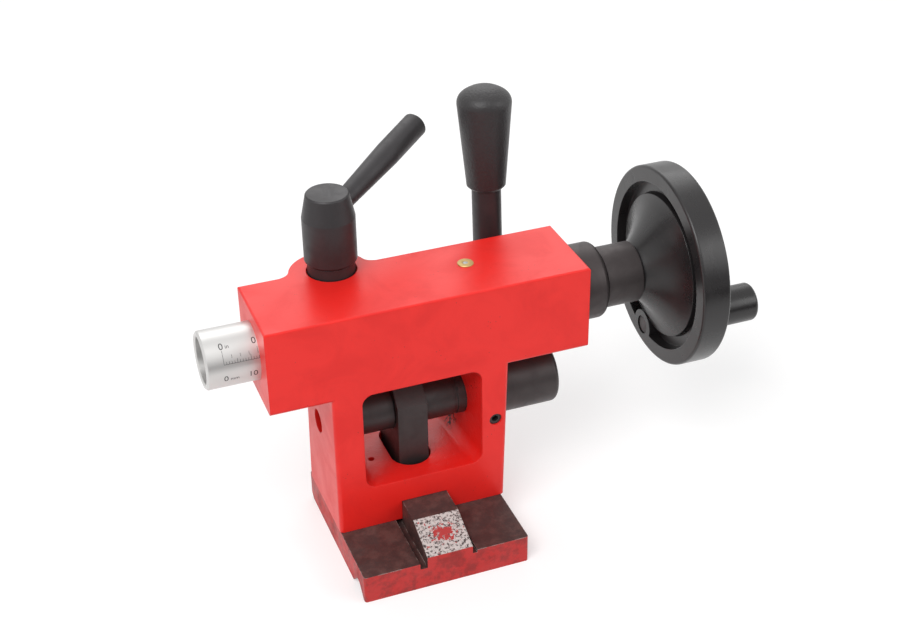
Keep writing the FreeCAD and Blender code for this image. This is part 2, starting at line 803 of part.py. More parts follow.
def handwheel_nut():
    """Domed hexagon nut."""
    start = wheel_hub_end_x + washer_thickness
    collar_end = start + wheel_nut_height + wheel_nut_collar
    nut = hex_prism(wheel_nut_flats, V(start, 0, centre_height), X_AXIS, Z_AXIS, wheel_nut_height)
    dome_foot = wheel_nut_flats / 2 - wheel_nut_collar
    dome_radius = (dome_foot ** 2 + wheel_nut_dome ** 2) / (2 * wheel_nut_dome)
    ball = Part.makeSphere(dome_radius, V(collar_end + wheel_nut_dome - dome_radius, 0, centre_height))
    dome = ball.common(rod_x(dome_foot, collar_end, collar_end + wheel_nut_dome + cut_over))
    nut = nut.fuse(rod_x(dome_foot, start, collar_end)).fuse(dome)
    bore_end = start + wheel_nut_height + stud_beyond_nut + seat_fit
    return one_solid(nut.cut(rod_x(stud_end_radius + seat_fit, start - cut_over, bore_end)))


def handle_sleeve():
    y, z = handle_place()
    start = rim_end_x + free_gap
    end = start + handle_length
    body = rod_x(handle_radius, start, end, y, z)
    rim = edges_where(body, lambda e: circle_at(e, handle_radius, end))
    body = body.makeFillet(handle_rounding, rim)
    foot = edges_where(body, lambda e: circle_at(e, handle_radius, start))
    body = body.makeChamfer(handle_foot_chamfer, foot)
    body = body.cut(rod_x(spindle_radius + handle_gap, start - cut_over, end + cut_over, y, z))
    return one_solid(body.cut(rod_x(handle_recess_radius, end - handle_recess_depth, end + cut_over, y, z)))


def handle_spindle():
    y, z = handle_place()
    head_start = rim_end_x + free_gap + handle_length - handle_recess_depth + handle_gap
    head_end = head_start + spindle_head_height
    body = rod_x(spindle_radius, rim_x + spindle_tip_sunk, head_start, y, z)
    head = rod_x(spindle_head_radius, head_start, head_end, y, z)
    reach = spindle_head_radius + cut_over
    slot = box(head_end - spindle_slot_depth, head_end + cut_over, y - spindle_slot_width / 2,
               y + spindle_slot_width / 2, z - reach, z + reach)
    return one_solid(body.fuse(head).cut(slot))


def handle_nut():
    y, z = handle_place()
    end = rim_x + boss_recess_depth
    return washer_x(spindle_nut_radius, spindle_radius + seat_fit, end - spindle_nut_height, end, y, z)


# ================================================================ quill lock
def cotter_blank(low, high):
    return rod_z(cotter_radius, lock_x, lock_y, low, high)


def quill_relief():
    reach = cotter_radius + cut_over
    return rod_x(quill_radius + running_fit, lock_x - reach, lock_x + reach)


def upper_cotter():
    body = cotter_blank(centre_height + cotter_split, cotter_neck_start)
    body = body.fuse(rod_z(cotter_neck_radius, lock_x, lock_y, cotter_neck_start, cotter_top))
    stud_way = rod_z(lock_stud_radius + stud_gap, lock_x, lock_y, centre_height, cotter_top + cut_over)
    return one_solid(body.cut(quill_relief()).cut(stud_way))


def lower_cotter():
    body = cotter_blank(lower_cotter_bottom, centre_height - cotter_split)
    stud_seat = rod_z(lock_stud_radius + seat_fit, lock_x, lock_y, lower_cotter_bottom - cut_over,
                      centre_height)
    return one_solid(body.cut(quill_relief()).cut(stud_seat))


def lock_stud():
    return rod_z(lock_stud_radius, lock_x, lock_y, lower_cotter_bottom, lock_stud_top)


def arm_direction():
    azimuth = math.radians(arm_azimuth)
    elevation = math.radians(arm_elevation)
    level_part = math.cos(elevation)
    return V(level_part * math.cos(azimuth), level_part * math.sin(azimuth), math.sin(elevation))


def arm_cylinder(radius, start, end):
    along = arm_direction()
    origin = V(lock_x, lock_y, arm_height)
    return Part.makeCylinder(radius, end - start, origin + along * start, along)


def lock_hub():
    bore = lock_stud_radius + running_fit
    body = turned_z([
        (hub_bottom, bore),
        (hub_bottom, hub_foot_radius),
        (hub_bottom + hub_foot_height, hub_radius),
        (hub_cone_start, hub_radius),
        (hub_top - hub_top_edge, hub_top_radius),
        (hub_top, hub_top_radius - hub_top_edge),
        (hub_top, 0),
        (hub_bore_top, 0),
        (hub_bore_top, bore),
    ], lock_x, lock_y)
    body = body.cut(arm_cylinder(arm_root_radius + seat_relief, arm_seat, arm_seat + arm_socket_depth))
    return one_solid(body.cut(arm_cylinder(arm_spigot_radius + seat_fit, arm_spigot_start - socket_end_gap,
                                           arm_seat + cut_over)))


def lock_arm():
    along = arm_direction()
    side = V(-along.y, along.x, 0).normalize()
    body = turned([
        (arm_spigot_start, 0),
        (arm_spigot_start, arm_spigot_radius),
        (arm_seat, arm_spigot_radius),
        (arm_seat, arm_root_radius),
        (arm_joint, arm_radius),
        (arm_end - arm_rounding, arm_radius),
        (arm_end, arm_radius - arm_rounding),
        (arm_end, 0),
    ], V(lock_x, lock_y, arm_height), along, side)
    return one_solid(body)


# ================================================================ oiler
def oiler_body():
    floor = beam_top - oiler_body_depth
    top = beam_top + oiler_flange_height
    ball = oiler_ball_radius + running_fit
    lip = oiler_ball_height() + ball * math.sin(math.radians(oiler_seat_angle))
    mouth = ball * math.cos(math.radians(oiler_seat_angle))
    bore_top = lip - (oiler_bore_radius - mouth) / math.tan(math.radians(oiler_seat_angle))
    return one_solid(turned_z([
        (floor, oiler_duct_radius),
        (floor, oiler_body_radius),
        (beam_top, oiler_body_radius),
        (beam_top, oiler_flange_radius),
        (top - oiler_flange_chamfer, oiler_flange_radius),
        (top, oiler_flange_radius - oiler_flange_chamfer),
        (top, mouth + oiler_flange_height),
        (lip, mouth),
        (bore_top, oiler_bore_radius),
        (floor + oiler_floor_thickness, oiler_bore_radius),
        (floor + oiler_floor_thickness, oiler_duct_radius),
    ], oiler_x, oiler_y))


def oiler_ball_height():
    """Centre of the ball at rest, just under the mouth of the oiler."""
    return beam_top + oiler_flange_height - oiler_ball_sunk


def oiler_ball():
    return Part.makeSphere(oiler_ball_radius, V(oiler_x, oiler_y, oiler_ball_height()))


def oiler_spring():
    """Coil under the ball, on the floor of the oiler."""
    low = beam_top - oiler_body_depth + oiler_floor_thickness + oiler_spring_wire
    ball_side = math.sqrt(oiler_ball_radius ** 2 - oiler_spring_radius ** 2)
    high = oiler_ball_height() - ball_side - 2 * oiler_spring_wire
    height = high - low
    helix = Part.makeHelix(height / oiler_spring_turns, height, oiler_spring_radius)
    section = Part.Wire([Part.makeCircle(oiler_spring_wire, V(oiler_spring_radius, 0, 0), Y_AXIS)])
    coil = Part.Wire(helix.Edges).makePipeShell([section], True, True)
    coil.translate(V(oiler_x, oiler_y, low))
    return one_solid(coil)


# ================================================================ cam lock
def cam_shaft():
    head_end = cam_head_x + cam_head_length
    waist_left = key_centre - link_thickness / 2 - link_waist_gap
    waist_right = key_centre + link_thickness / 2 + link_waist_gap
    body = rod_x(cam_journal_radius, cam_shoulder_x - cam_journal_length, cam_shoulder_x, cam_y, cam_z)
    body = body.fuse(rod_x(cam_radius, cam_shoulder_x, waist_left, cam_y, cam_z))
    body = body.fuse(rod_x(waist_radius, waist_left, waist_right, cam_y + throw_y, cam_z + throw_z))
    body = body.fuse(rod_x(cam_radius, waist_right, cam_head_x, cam_y, cam_z))
    head = rod_x(cam_head_radius, cam_head_x, head_end, cam_y, cam_z)
    outer = edges_where(head, lambda e: circle_at(e, cam_head_radius, head_end))
    head = head.makeFillet(cam_head_rounding, outer)
    inner = edges_where(head, lambda e: circle_at(e, cam_head_radius, cam_head_x))
    head = head.makeChamfer(cam_head_chamfer, inner)
    body = body.fuse(head)
    cuts = [
        ring_tool(cam_radius, cam_groove_x, cam_groove_width, cam_groove_depth),
        ring_tool(cam_radius, retainer_x - retainer_groove_width / 2, retainer_groove_width,
                  retainer_groove_depth),
        lever_cylinder(lever_spigot_radius + seat_fit, lever_spigot_start - socket_end_gap,
                       lever_seat + cut_over),
        lever_cylinder(lever_radius + seat_relief, lever_seat, lever_seat + lever_socket_depth),
    ]
    return one_solid(cut_all(body, cuts))


def ring_tool(radius, start, width, depth):
    return washer_x(radius + cut_over, radius - depth, start, start + width, cam_y, cam_z)


def lever_root_direction():
    rise = math.radians(lever_rise)
    return V(0, math.cos(rise), math.sin(rise))


def lever_cylinder(radius, start, end):
    along = lever_root_direction()
    origin = V(lever_x, cam_y, cam_z)
    return Part.makeCylinder(radius, end - start, origin + along * start, along)


def lever_corner():
    """Distance along the root leg to where the two legs' axes meet."""
    lean = math.tan(math.radians(lever_lean))
    root = lever_root_direction()
    return (lever_upper_y - cam_y - (lever_upper_z - cam_z) * lean) / (root.y - root.z * lean)


def cam_lever_rod():
    root = lever_root_direction()
    lean = math.radians(lever_lean)
    upper = V(0, math.sin(lean), math.cos(lean))
    origin = V(lever_x, cam_y, cam_z)
    corner = origin + root * lever_corner()
    turn = math.radians(90 - lever_rise - lever_lean)
    tangent = lever_bend_radius * math.tan(turn / 2)
    bend_start = corner - root * tangent
    bend_end = corner + upper * tangent
    inward = (bend_start + bend_end) * 0.5 - corner
    centre = corner + inward * (lever_bend_radius / math.cos(turn / 2) / inward.Length)
    bend_middle = centre + (corner - centre).normalize() * lever_bend_radius
    seat = origin + root * lever_seat
    top = corner + upper * ((lever_top - corner.z) / upper.z)
    path = Part.Wire([
        Part.LineSegment(seat, bend_start).toShape(),
        Part.Arc(bend_start, bend_middle, bend_end).toShape(),
        Part.LineSegment(bend_end, top).toShape(),
    ])
    section = Part.Wire([Part.makeCircle(lever_radius, seat, root)])
    rod = path.makePipeShell([section], True, False)
    spigot = lever_cylinder(lever_spigot_radius, lever_spigot_start, lever_seat)
    return one_solid(rod.fuse(spigot))


def grip_point(along_z):
    """Point of the lever's upper axis at a height."""
    lean = math.tan(math.radians(lever_lean))
    return V(lever_x, lever_upper_y + (along_z - lever_upper_z) * lean, along_z)


def cam_lever_grip():
    lean = math.radians(lever_lean)
    upper = V(0, math.sin(lean), math.cos(lean))
    origin = grip_point(grip_bottom)
    length = (grip_widest - grip_bottom) / upper.z
    total = (grip_top - grip_bottom) / upper.z
    side = X_AXIS

    def at(a, r):
        return origin + upper * a + side * r
    dome = total - length
    edges = chain([
        at(0, 0),
        at(0, grip_bottom_radius - grip_edge),
        at(grip_edge, grip_bottom_radius),
        at(length, grip_radius),
    ])
    half_way = math.sqrt(0.5)
    dome_curve = Part.BSplineCurve()
    dome_curve.interpolate([at(length, grip_radius), at(length + half_way * dome, half_way * grip_radius),
                            at(total, 0)], InitialTangent=upper, FinalTangent=side * -1)
    edges.append(dome_curve.toShape())
    edges.append(Part.LineSegment(at(total, 0), at(0, 0)).toShape())
    body = Part.Face(Part.Wire(edges)).revolve(origin, upper, 360)
    top = grip_point(lever_top)
    hole = Part.makeCylinder(lever_radius + seat_fit, (top - origin).Length + cut_over,
                             origin - upper * cut_over, upper)
    return one_solid(body.cut(hole))


def clamp_link():
    """Eye block that hangs on the eccentric and pulls the clamp bolt up."""
    left = key_centre - link_thickness / 2
    front = cam_y - link_half_width
    back = cam_y + link_half_width
    shank_front = cam_y - link_shank_half_width
    shank_back = cam_y + link_shank_half_width
    outline = [
        (shank_front, link_bottom),
        (shank_back, link_bottom),
        (shank_back, link_shank_top),
        (back, link_shank_top),
        (back, link_shoulder),
        (back - link_corner, link_top),
        (front + link_corner, link_top),
        (front, link_shoulder),
        (front, link_shank_top),
        (shank_front, link_shank_top),
    ]
    points = [V(left, y, z) for y, z in outline]
    body = Part.Face(Part.makePolygon(points + [points[0]])).extrude(X_AXIS * link_thickness)
    eye_z = cam_z + throw_z + waist_radius + 2 * running_fit - link_eye_radius
    right = left + link_thickness
    body = body.cut(rod_x(link_eye_radius, left - cut_over, right + cut_over, cam_y + throw_y, eye_z))
    thread_end = link_bottom + link_thread_depth
    thread = rod_z(link_thread_radius, key_centre, cam_y, link_bottom - cut_over, thread_end)
    return one_solid(body.cut(thread))


def cam_retaining_screw():
    start = beam_front + retainer_sunk
    end = cam_y - cam_radius + retainer_groove_depth - free_gap
    body = rod_y(retainer_radius, retainer_x, retainer_z, start, end - retainer_dog_length)
    body = body.fuse(rod_y(retainer_dog_radius, retainer_x, retainer_z, start, end))
    socket = hex_prism(retainer_flats, V(retainer_x, start, retainer_z), Y_AXIS, Z_AXIS, retainer_socket)
    return one_solid(body.cut(socket))


# ================================================================ assembly
def pieces():
    made = {
        "base_casting": base_casting,
        "body_casting": body_casting,
        "quill": quill,
        "quill_key_screw": quill_key_screw,
        "leadscrew": leadscrew,
        "bearing_flange": bearing_flange,
        "inner_thrust_washer": inner_thrust_washer,
        "outer_thrust_washer": outer_thrust_washer,
        "drive_collar": drive_collar,
        "drive_key": lambda: drive_key_block(0.0),
        "handwheel": handwheel,
        "handwheel_washer": handwheel_washer,
        "handwheel_nut": handwheel_nut,
        "handle_sleeve": handle_sleeve,
        "handle_spindle": handle_spindle,
        "handle_nut": handle_nut,
        "lock_upper_cotter": upper_cotter,
        "lock_lower_cotter": lower_cotter,
        "lock_stud": lock_stud,
        "lock_hub": lock_hub,
        "lock_arm": lock_arm,
        "oiler_body": oiler_body,
        "oiler_ball": oiler_ball,
        "oiler_spring": oiler_spring,
        "cam_shaft": cam_shaft,
        "cam_retaining_screw": cam_retaining_screw,
        "cam_lever_rod": cam_lever_rod,
        "cam_lever_grip": cam_lever_grip,
        "clamp_link": clamp_link,
    }
    for number, place in enumerate(base_bolt_places, start=1):
        made["base_bolt_%d" % number] = lambda place=place: base_bolt(place)
    return made


def main():
    os.makedirs("parts", exist_ok=True)
    for name, make in pieces().items():
        shape = make()
        if not shape.isValid():
            raise RuntimeError("%s isn't a valid shape" % name)
        shape.exportStep(os.path.join("parts", name + ".step"))
        print(name, round(shape.Volume, 1))


main()
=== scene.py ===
"""Looks of a bench-lathe tailstock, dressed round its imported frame.

The solid pieces come from the frame.  This script dresses them, adds the scale that is engraved on the
quill, and sets up the studio.  Everything is in metres.
"""
from __future__ import annotations

import json
import logging
import math
from dataclasses import dataclass, field
from enum import Enum
from typing import Callable, Sequence, Union

import bmesh
import bpy
from mathutils import Matrix, Vector

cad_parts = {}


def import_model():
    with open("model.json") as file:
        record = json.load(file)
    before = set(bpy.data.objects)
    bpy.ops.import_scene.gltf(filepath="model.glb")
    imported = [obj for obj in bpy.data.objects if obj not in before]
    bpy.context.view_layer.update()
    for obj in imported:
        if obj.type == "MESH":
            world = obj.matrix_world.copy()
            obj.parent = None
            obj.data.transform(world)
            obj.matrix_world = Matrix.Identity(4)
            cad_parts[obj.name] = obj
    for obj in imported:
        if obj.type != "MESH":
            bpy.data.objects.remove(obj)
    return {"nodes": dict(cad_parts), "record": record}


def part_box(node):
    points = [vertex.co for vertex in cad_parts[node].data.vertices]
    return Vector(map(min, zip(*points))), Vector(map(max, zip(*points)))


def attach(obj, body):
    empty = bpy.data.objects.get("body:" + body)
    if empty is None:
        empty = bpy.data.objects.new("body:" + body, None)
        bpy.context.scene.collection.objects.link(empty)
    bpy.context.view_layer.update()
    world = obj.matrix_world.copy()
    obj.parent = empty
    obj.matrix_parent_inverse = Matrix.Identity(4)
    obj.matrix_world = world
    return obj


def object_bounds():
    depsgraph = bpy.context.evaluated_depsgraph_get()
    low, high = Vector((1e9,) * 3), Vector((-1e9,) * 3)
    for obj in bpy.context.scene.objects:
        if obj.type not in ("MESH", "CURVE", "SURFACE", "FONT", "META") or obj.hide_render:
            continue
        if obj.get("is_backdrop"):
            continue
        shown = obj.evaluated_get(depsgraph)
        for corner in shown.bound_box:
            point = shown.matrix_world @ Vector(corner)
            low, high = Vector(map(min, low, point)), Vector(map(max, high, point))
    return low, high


LOG = logging.getLogger("tailstock")
MM = 0.001
EDGE_SAMPLES = 4

Colour = tuple[float, float, float]
Socket = bpy.types.NodeSocket
Sockets = dict[str, bpy.types.NodeSocket]
Wire = Union[float, Sequence[float], bpy.types.NodeSocket]


# ====================================================================== shader wiring
class Graph:
    """A node tree that is being wired, with short calls for the nodes in use."""

    def __init__(self, tree: bpy.types.NodeTree) -> None:
        """Starts from an empty tree.

        Args:
            tree: The material's or the group's own tree.
        """
        self.tree = tree
        tree.nodes.clear()

    def add(self, kind: str, settings: dict[str, object] | None = None, **inputs: Wire) -> bpy.types.Node:
        """Adds a node and fills its inputs.

        Args:
            kind: The node's type name, without the ShaderNode prefix.
            settings: Plain properties of the node.
            **inputs: Values or sockets by input name, with _ for a space.

        Returns:
            The new node.
        """
        node = self.tree.nodes.new("ShaderNode" + kind)
        for name, value in (settings or {}).items():
            setattr(node, name, value)
        for name, value in inputs.items():
            self.feed(node.inputs[name.replace("_", " ")], value)
        return node

    def feed(self, socket: bpy.types.NodeSocket, value: Wire) -> None:
        """Links a socket to another, or sets its value.

        Args:
            socket: The input.
            value: A socket, a number or a colour.
        """
        if isinstance(value, bpy.types.NodeSocket):
            self.tree.links.new(value, socket)
        elif socket.type == "RGBA" and not isinstance(value, (int, float)):
            socket.default_value = (*value, 1.0)
        else:
            socket.default_value = value

    def math(self, operation: str, first: Wire, second: Wire = 0.0, third: Wire = 0.0,
             clamp: bool = False) -> Socket:
        """Value of a Math node.

        Args:
            operation: The node's operation.
            first: Its first input.
            second: Its second input.
            third: Its third input, where it has one.
            clamp: Whether the value is kept from 0 to 1.

        Returns:
            The node's output.
        """
        node = self.tree.nodes.new("ShaderNodeMath")
        node.operation = operation
        node.use_clamp = clamp
        for socket, value in zip(node.inputs, (first, second, third)):
            self.feed(socket, value)
        return node.outputs[0]

    def mix(self, amount: Wire, first: Wire, second: Wire, blend: str = "MIX") -> Socket:
        """Colour between two, by an amount.

        Args:
            amount: 0 gives the first colour and 1 the second.
            first: A colour or its socket.
            second: A colour or its socket.
            blend: The Mix node's blend type.

        Returns:
            The mixed colour.
        """
        node = self.tree.nodes.new("ShaderNodeMix")
        node.data_type = "RGBA"
        node.blend_type = blend
        node.clamp_factor = True
        self.feed(node.inputs[0], amount)
        self.feed(node.inputs[6], first)
        self.feed(node.inputs[7], second)
        return node.outputs[2]

    def span(self, value: Wire, low: float, high: float, to_low: float = 0.0,
             to_high: float = 1.0) -> Socket:
        """Smooth step of a value.

        Args:
            value: The value or its socket.
            low: Where the step starts.
            high: Where the step ends.
            to_low: The result at and below the start.
            to_high: The result at and past the end.

        Returns:
            The stepped value.
        """
        node = self.tree.nodes.new("ShaderNodeMapRange")
        node.interpolation_type = "SMOOTHSTEP"
        for socket, given in zip(node.inputs, (value, low, high, to_low, to_high)):
            self.feed(socket, given)
        return node.outputs[0]

    def noise(self, vector: Wire, size: float, detail: float = 3.0, roughness: float = 0.5,
              distortion: float = 0.0) -> Socket:
        """Noise with lumps of a real size.

        Args:
            vector: The coordinates, in metres.
            size: Width of a lump in metres.
            detail: The noise's octaves.
            roughness: How strong the fine octaves are.
            distortion: How far the noise is stirred.

        Returns:
            The noise, about 0.5.
        """
        node = self.add("TexNoise", Vector=vector, Scale=1.0 / size, Detail=detail, Roughness=roughness,
                        Distortion=distortion)
        return node.outputs["Fac"]

    def stretch(self, vector: Wire, scale: Sequence[float]) -> Socket:
        """Coordinates scaled along each axis."""
        return self.add("Mapping", Vector=vector, Scale=scale).outputs[0]

    def axes(self, vector: Wire) -> tuple[Socket, ...]:
        """The x, y and z of a vector."""
        return tuple(self.add("SeparateXYZ", Vector=vector).outputs)


class Effect:
    """A shader node group with named inputs and outputs, built once and used by several finishes."""

    built: dict[str, bpy.types.NodeTree] = {}

    def __init__(self, name: str, inputs: dict[str, object], outputs: Sequence[str],
                 wire: Callable[[Graph, Sockets], dict[str, Wire]]) -> None:
        """Describes the group.

        Args:
            name: The group's name.
            inputs: Each input's default: a number, or None for a vector.
            outputs: Names of the values that it puts out.
            wire: Wires the group and gives its outputs.
        """
        self.name = name
        self.inputs = inputs
        self.outputs = outputs
        self.wire = wire

    def tree(self) -> bpy.types.NodeTree:
        """The group's tree, made at its first use.

        Returns:
            The tree.
        """
        if self.name in Effect.built:
            return Effect.built[self.name]
        tree = bpy.data.node_groups.new(self.name, "ShaderNodeTree")
        for name, value in self.inputs.items():
            kind = "NodeSocketVector" if value is None else "NodeSocketFloat"
            socket = tree.interface.new_socket(name=name, in_out="INPUT", socket_type=kind)
            if value is not None:
                socket.default_value = value
        for name in self.outputs:
            tree.interface.new_socket(name=name, in_out="OUTPUT", socket_type="NodeSocketFloat")
        graph = Graph(tree)
        given = tree.nodes.new("NodeGroupInput")
        made = self.wire(graph, {socket.name: socket for socket in given.outputs if socket.name})
        last = tree.nodes.new("NodeGroupOutput")
        for name, value in made.items():
            graph.feed(last.inputs[name], value)
        Effect.built[self.name] = tree
        return tree

    def place(self, graph: Graph, **inputs: Wire) -> bpy.types.bpy_prop_collection:
        """Puts the group in a material.

        Args:
            graph: The material's wiring.
            **inputs: Values or sockets by input name, with _ for a space.

        Returns:
            The placed group's outputs.
        """
        node = graph.tree.nodes.new("ShaderNodeGroup")
        node.node_tree = self.tree()
        for name, value in inputs.items():
            graph.feed(node.inputs[name.replace("_", " ")], value)
        return node.outputs


def wire_edge_wear(graph: Graph, given: Sockets) -> dict[str, Wire]:
    """Mask of convex and concave edges, broken up by noise.

    Args:
        graph: The group's wiring.
        given: The group's inputs.

    Returns:
        The group's outputs.
    """
    bevel = graph.add("Bevel", {"samples": EDGE_SAMPLES}, Radius=given["Width"])
    flat = graph.add("NewGeometry").outputs["True Normal"]
    dot = graph.add("VectorMath", {"operation": "DOT_PRODUCT"})
    graph.feed(dot.inputs[0], bevel.outputs[0])
    graph.feed(dot.inputs[1], flat)
    edge_gain, gate_gain = 8.0, 9.0
    edge = graph.math("MULTIPLY", graph.math("SUBTRACT", 1.0, dot.outputs["Value"]), edge_gain, clamp=True)
    rough = graph.add("TexNoise", Vector=given["Vector"], Scale=given["Break Scale"], Detail=4.0,
                      Roughness=0.62)
    threshold = graph.math("SUBTRACT", 1.0, given["Coverage"])
    past = graph.math("SUBTRACT", rough.outputs["Fac"], threshold)
    gate = graph.math("MULTIPLY", past, gate_gain, clamp=True)
    return {"Mask": graph.math("MULTIPLY", edge, gate)}


def wire_cast_grain(graph: Graph, given: Sockets) -> dict[str, Wire]:
    """Height of a sand-cast skin: soft lumps with fine grain and a few pits.

    Args:
        graph: The group's wiring.
        given: The group's inputs.

    Returns:
        The group's outputs.
    """
    pit_fineness, pit_floor, pit_rim = 1.7, 0.05, 0.32
    lumps = graph.add("TexNoise", Vector=given["Vector"], Scale=given["Scale"], Detail=5.0, Roughness=0.55)
    cells = graph.add("TexVoronoi", {"feature": "F1"}, Vector=given["Vector"],
                      Scale=graph.math("MULTIPLY", given["Scale"], pit_fineness), Randomness=1.0)
    pits = graph.span(cells.outputs["Distance"], pit_floor, pit_rim)
    sunk = graph.math("MULTIPLY", graph.math("SUBTRACT", 1.0, pits), given["Pits"])
    return {"Height": graph.math("SUBTRACT", lumps.outputs["Fac"], sunk)}


def wire_turning(graph: Graph, given: Sockets) -> dict[str, Wire]:
    """Height of tool marks that run round an axis, from the position along it.

    Args:
        graph: The group's wiring.
        given: The group's inputs.

    Returns:
        The group's outputs.
    """
    wide_scale = 0.13
    lines = graph.math("MULTIPLY", given["Along"], given["Lines per m"])
    along = graph.add("CombineXYZ", X=lines, Y=0.0, Z=0.0)
    fine = graph.add("TexNoise", {"noise_dimensions": "3D"}, Vector=along.outputs[0], Scale=1.0, Detail=4.0,
                     Roughness=0.8)
    wide = graph.add("TexNoise", {"noise_dimensions": "3D"}, Vector=along.outputs[0], Scale=wide_scale,
                     Detail=2.0, Roughness=0.5)
    return {"Height": graph.math("MULTIPLY_ADD", wide.outputs["Fac"], given["Uneven"], fine.outputs["Fac"])}


def wire_film(graph: Graph, given: Sockets) -> dict[str, Wire]:
    """Two masks of handling: broad smears and small specks.

    Args:
        graph: The group's wiring.
        given: The group's inputs.

    Returns:
        The group's outputs.
    """
    speck_fineness, pick_fineness = 14.0, 3.0
    broad = graph.add("TexNoise", Vector=given["Vector"], Scale=given["Scale"], Detail=6.0, Roughness=0.6,
                      Distortion=0.8)
    smear = graph.span(broad.outputs["Fac"], 0.38, 0.68)
    dots = graph.add("TexVoronoi", {"feature": "F1"}, Vector=given["Vector"],
                     Scale=graph.math("MULTIPLY", given["Scale"], speck_fineness), Randomness=1.0)
    pick = graph.add("TexNoise", Vector=given["Vector"],
                     Scale=graph.math("MULTIPLY", given["Scale"], pick_fineness), Detail=2.0)
    near = graph.math("SUBTRACT", 1.0, graph.span(dots.outputs["Distance"], 0.06, 0.16))
    chosen = graph.span(pick.outputs["Fac"], 0.6, 0.68)
    return {"Smear": smear, "Specks": graph.math("MULTIPLY", near, chosen)}


EDGE_WEAR = Effect("edge_wear", {"Vector": None, "Width": 0.0006, "Break Scale": 600.0, "Coverage": 0.5},
                   ["Mask"], wire_edge_wear)
CAST_GRAIN = Effect("cast_grain", {"Vector": None, "Scale": 700.0, "Pits": 0.2}, ["Height"], wire_cast_grain)
TURNING = Effect("turning_marks", {"Along": 0.0, "Lines per m": 6000.0, "Uneven": 1.0}, ["Height"],
                 wire_turning)
FILM = Effect("handling_film", {"Vector": None, "Scale": 60.0}, ["Smear", "Specks"], wire_film)


# ====================================================================== finishes
class Axis(Enum):
    """Axis that a turned piece's tool marks run round."""

    X = 0
    Z = 2


class Finish:
    """Something that can make a material."""

    name = "finish"

    def material(self) -> bpy.types.Material:
        """The material of this finish, made at its first use.

        Returns:
            The material.
        """
        known = bpy.data.materials.get(self.name)
        if known:
            return known
        made = bpy.data.materials.new(self.name)
        made.use_nodes = True
        graph = Graph(made.node_tree)
        shader = graph.add("BsdfPrincipled")
        out = graph.add("OutputMaterial")
        made.node_tree.links.new(shader.outputs[0], out.inputs["Surface"])
        place = graph.add("TexCoord")
        self.wire(graph, shader, place.outputs["Object"], place.outputs["Normal"])
        return made

    def wire(self, graph: Graph, shader: bpy.types.Node, place: Socket, facing: Socket) -> None:
        """Wires the finish into its shader.

        Args:
            graph: The material's wiring.
            shader: Its Principled BSDF.
            place: Object coordinates, in metres.
            facing: Object-space normal.
        """
        raise NotImplementedError


def bump(graph: Graph, shader: bpy.types.Node, height: Wire, depth: float, rounding: float = 0.0) -> None:
    """Feeds the shader's normal from a height, over slightly rounded edges.

    Args:
        graph: The material's wiring.
        shader: Its Principled BSDF.
        height: The height, from 0 to 1.
        depth: What a height of 1 stands for, in metres.
        rounding: Radius that the edges look rounded to, in metres.
    """
    node = graph.add("Bump", Strength=1.0, Distance=depth, Height=height)
    if rounding:
        soft = graph.add("Bevel", {"samples": EDGE_SAMPLES}, Radius=rounding)
        graph.feed(node.inputs["Normal"], soft.outputs[0])
    graph.feed(shader.inputs["Normal"], node.outputs[0])


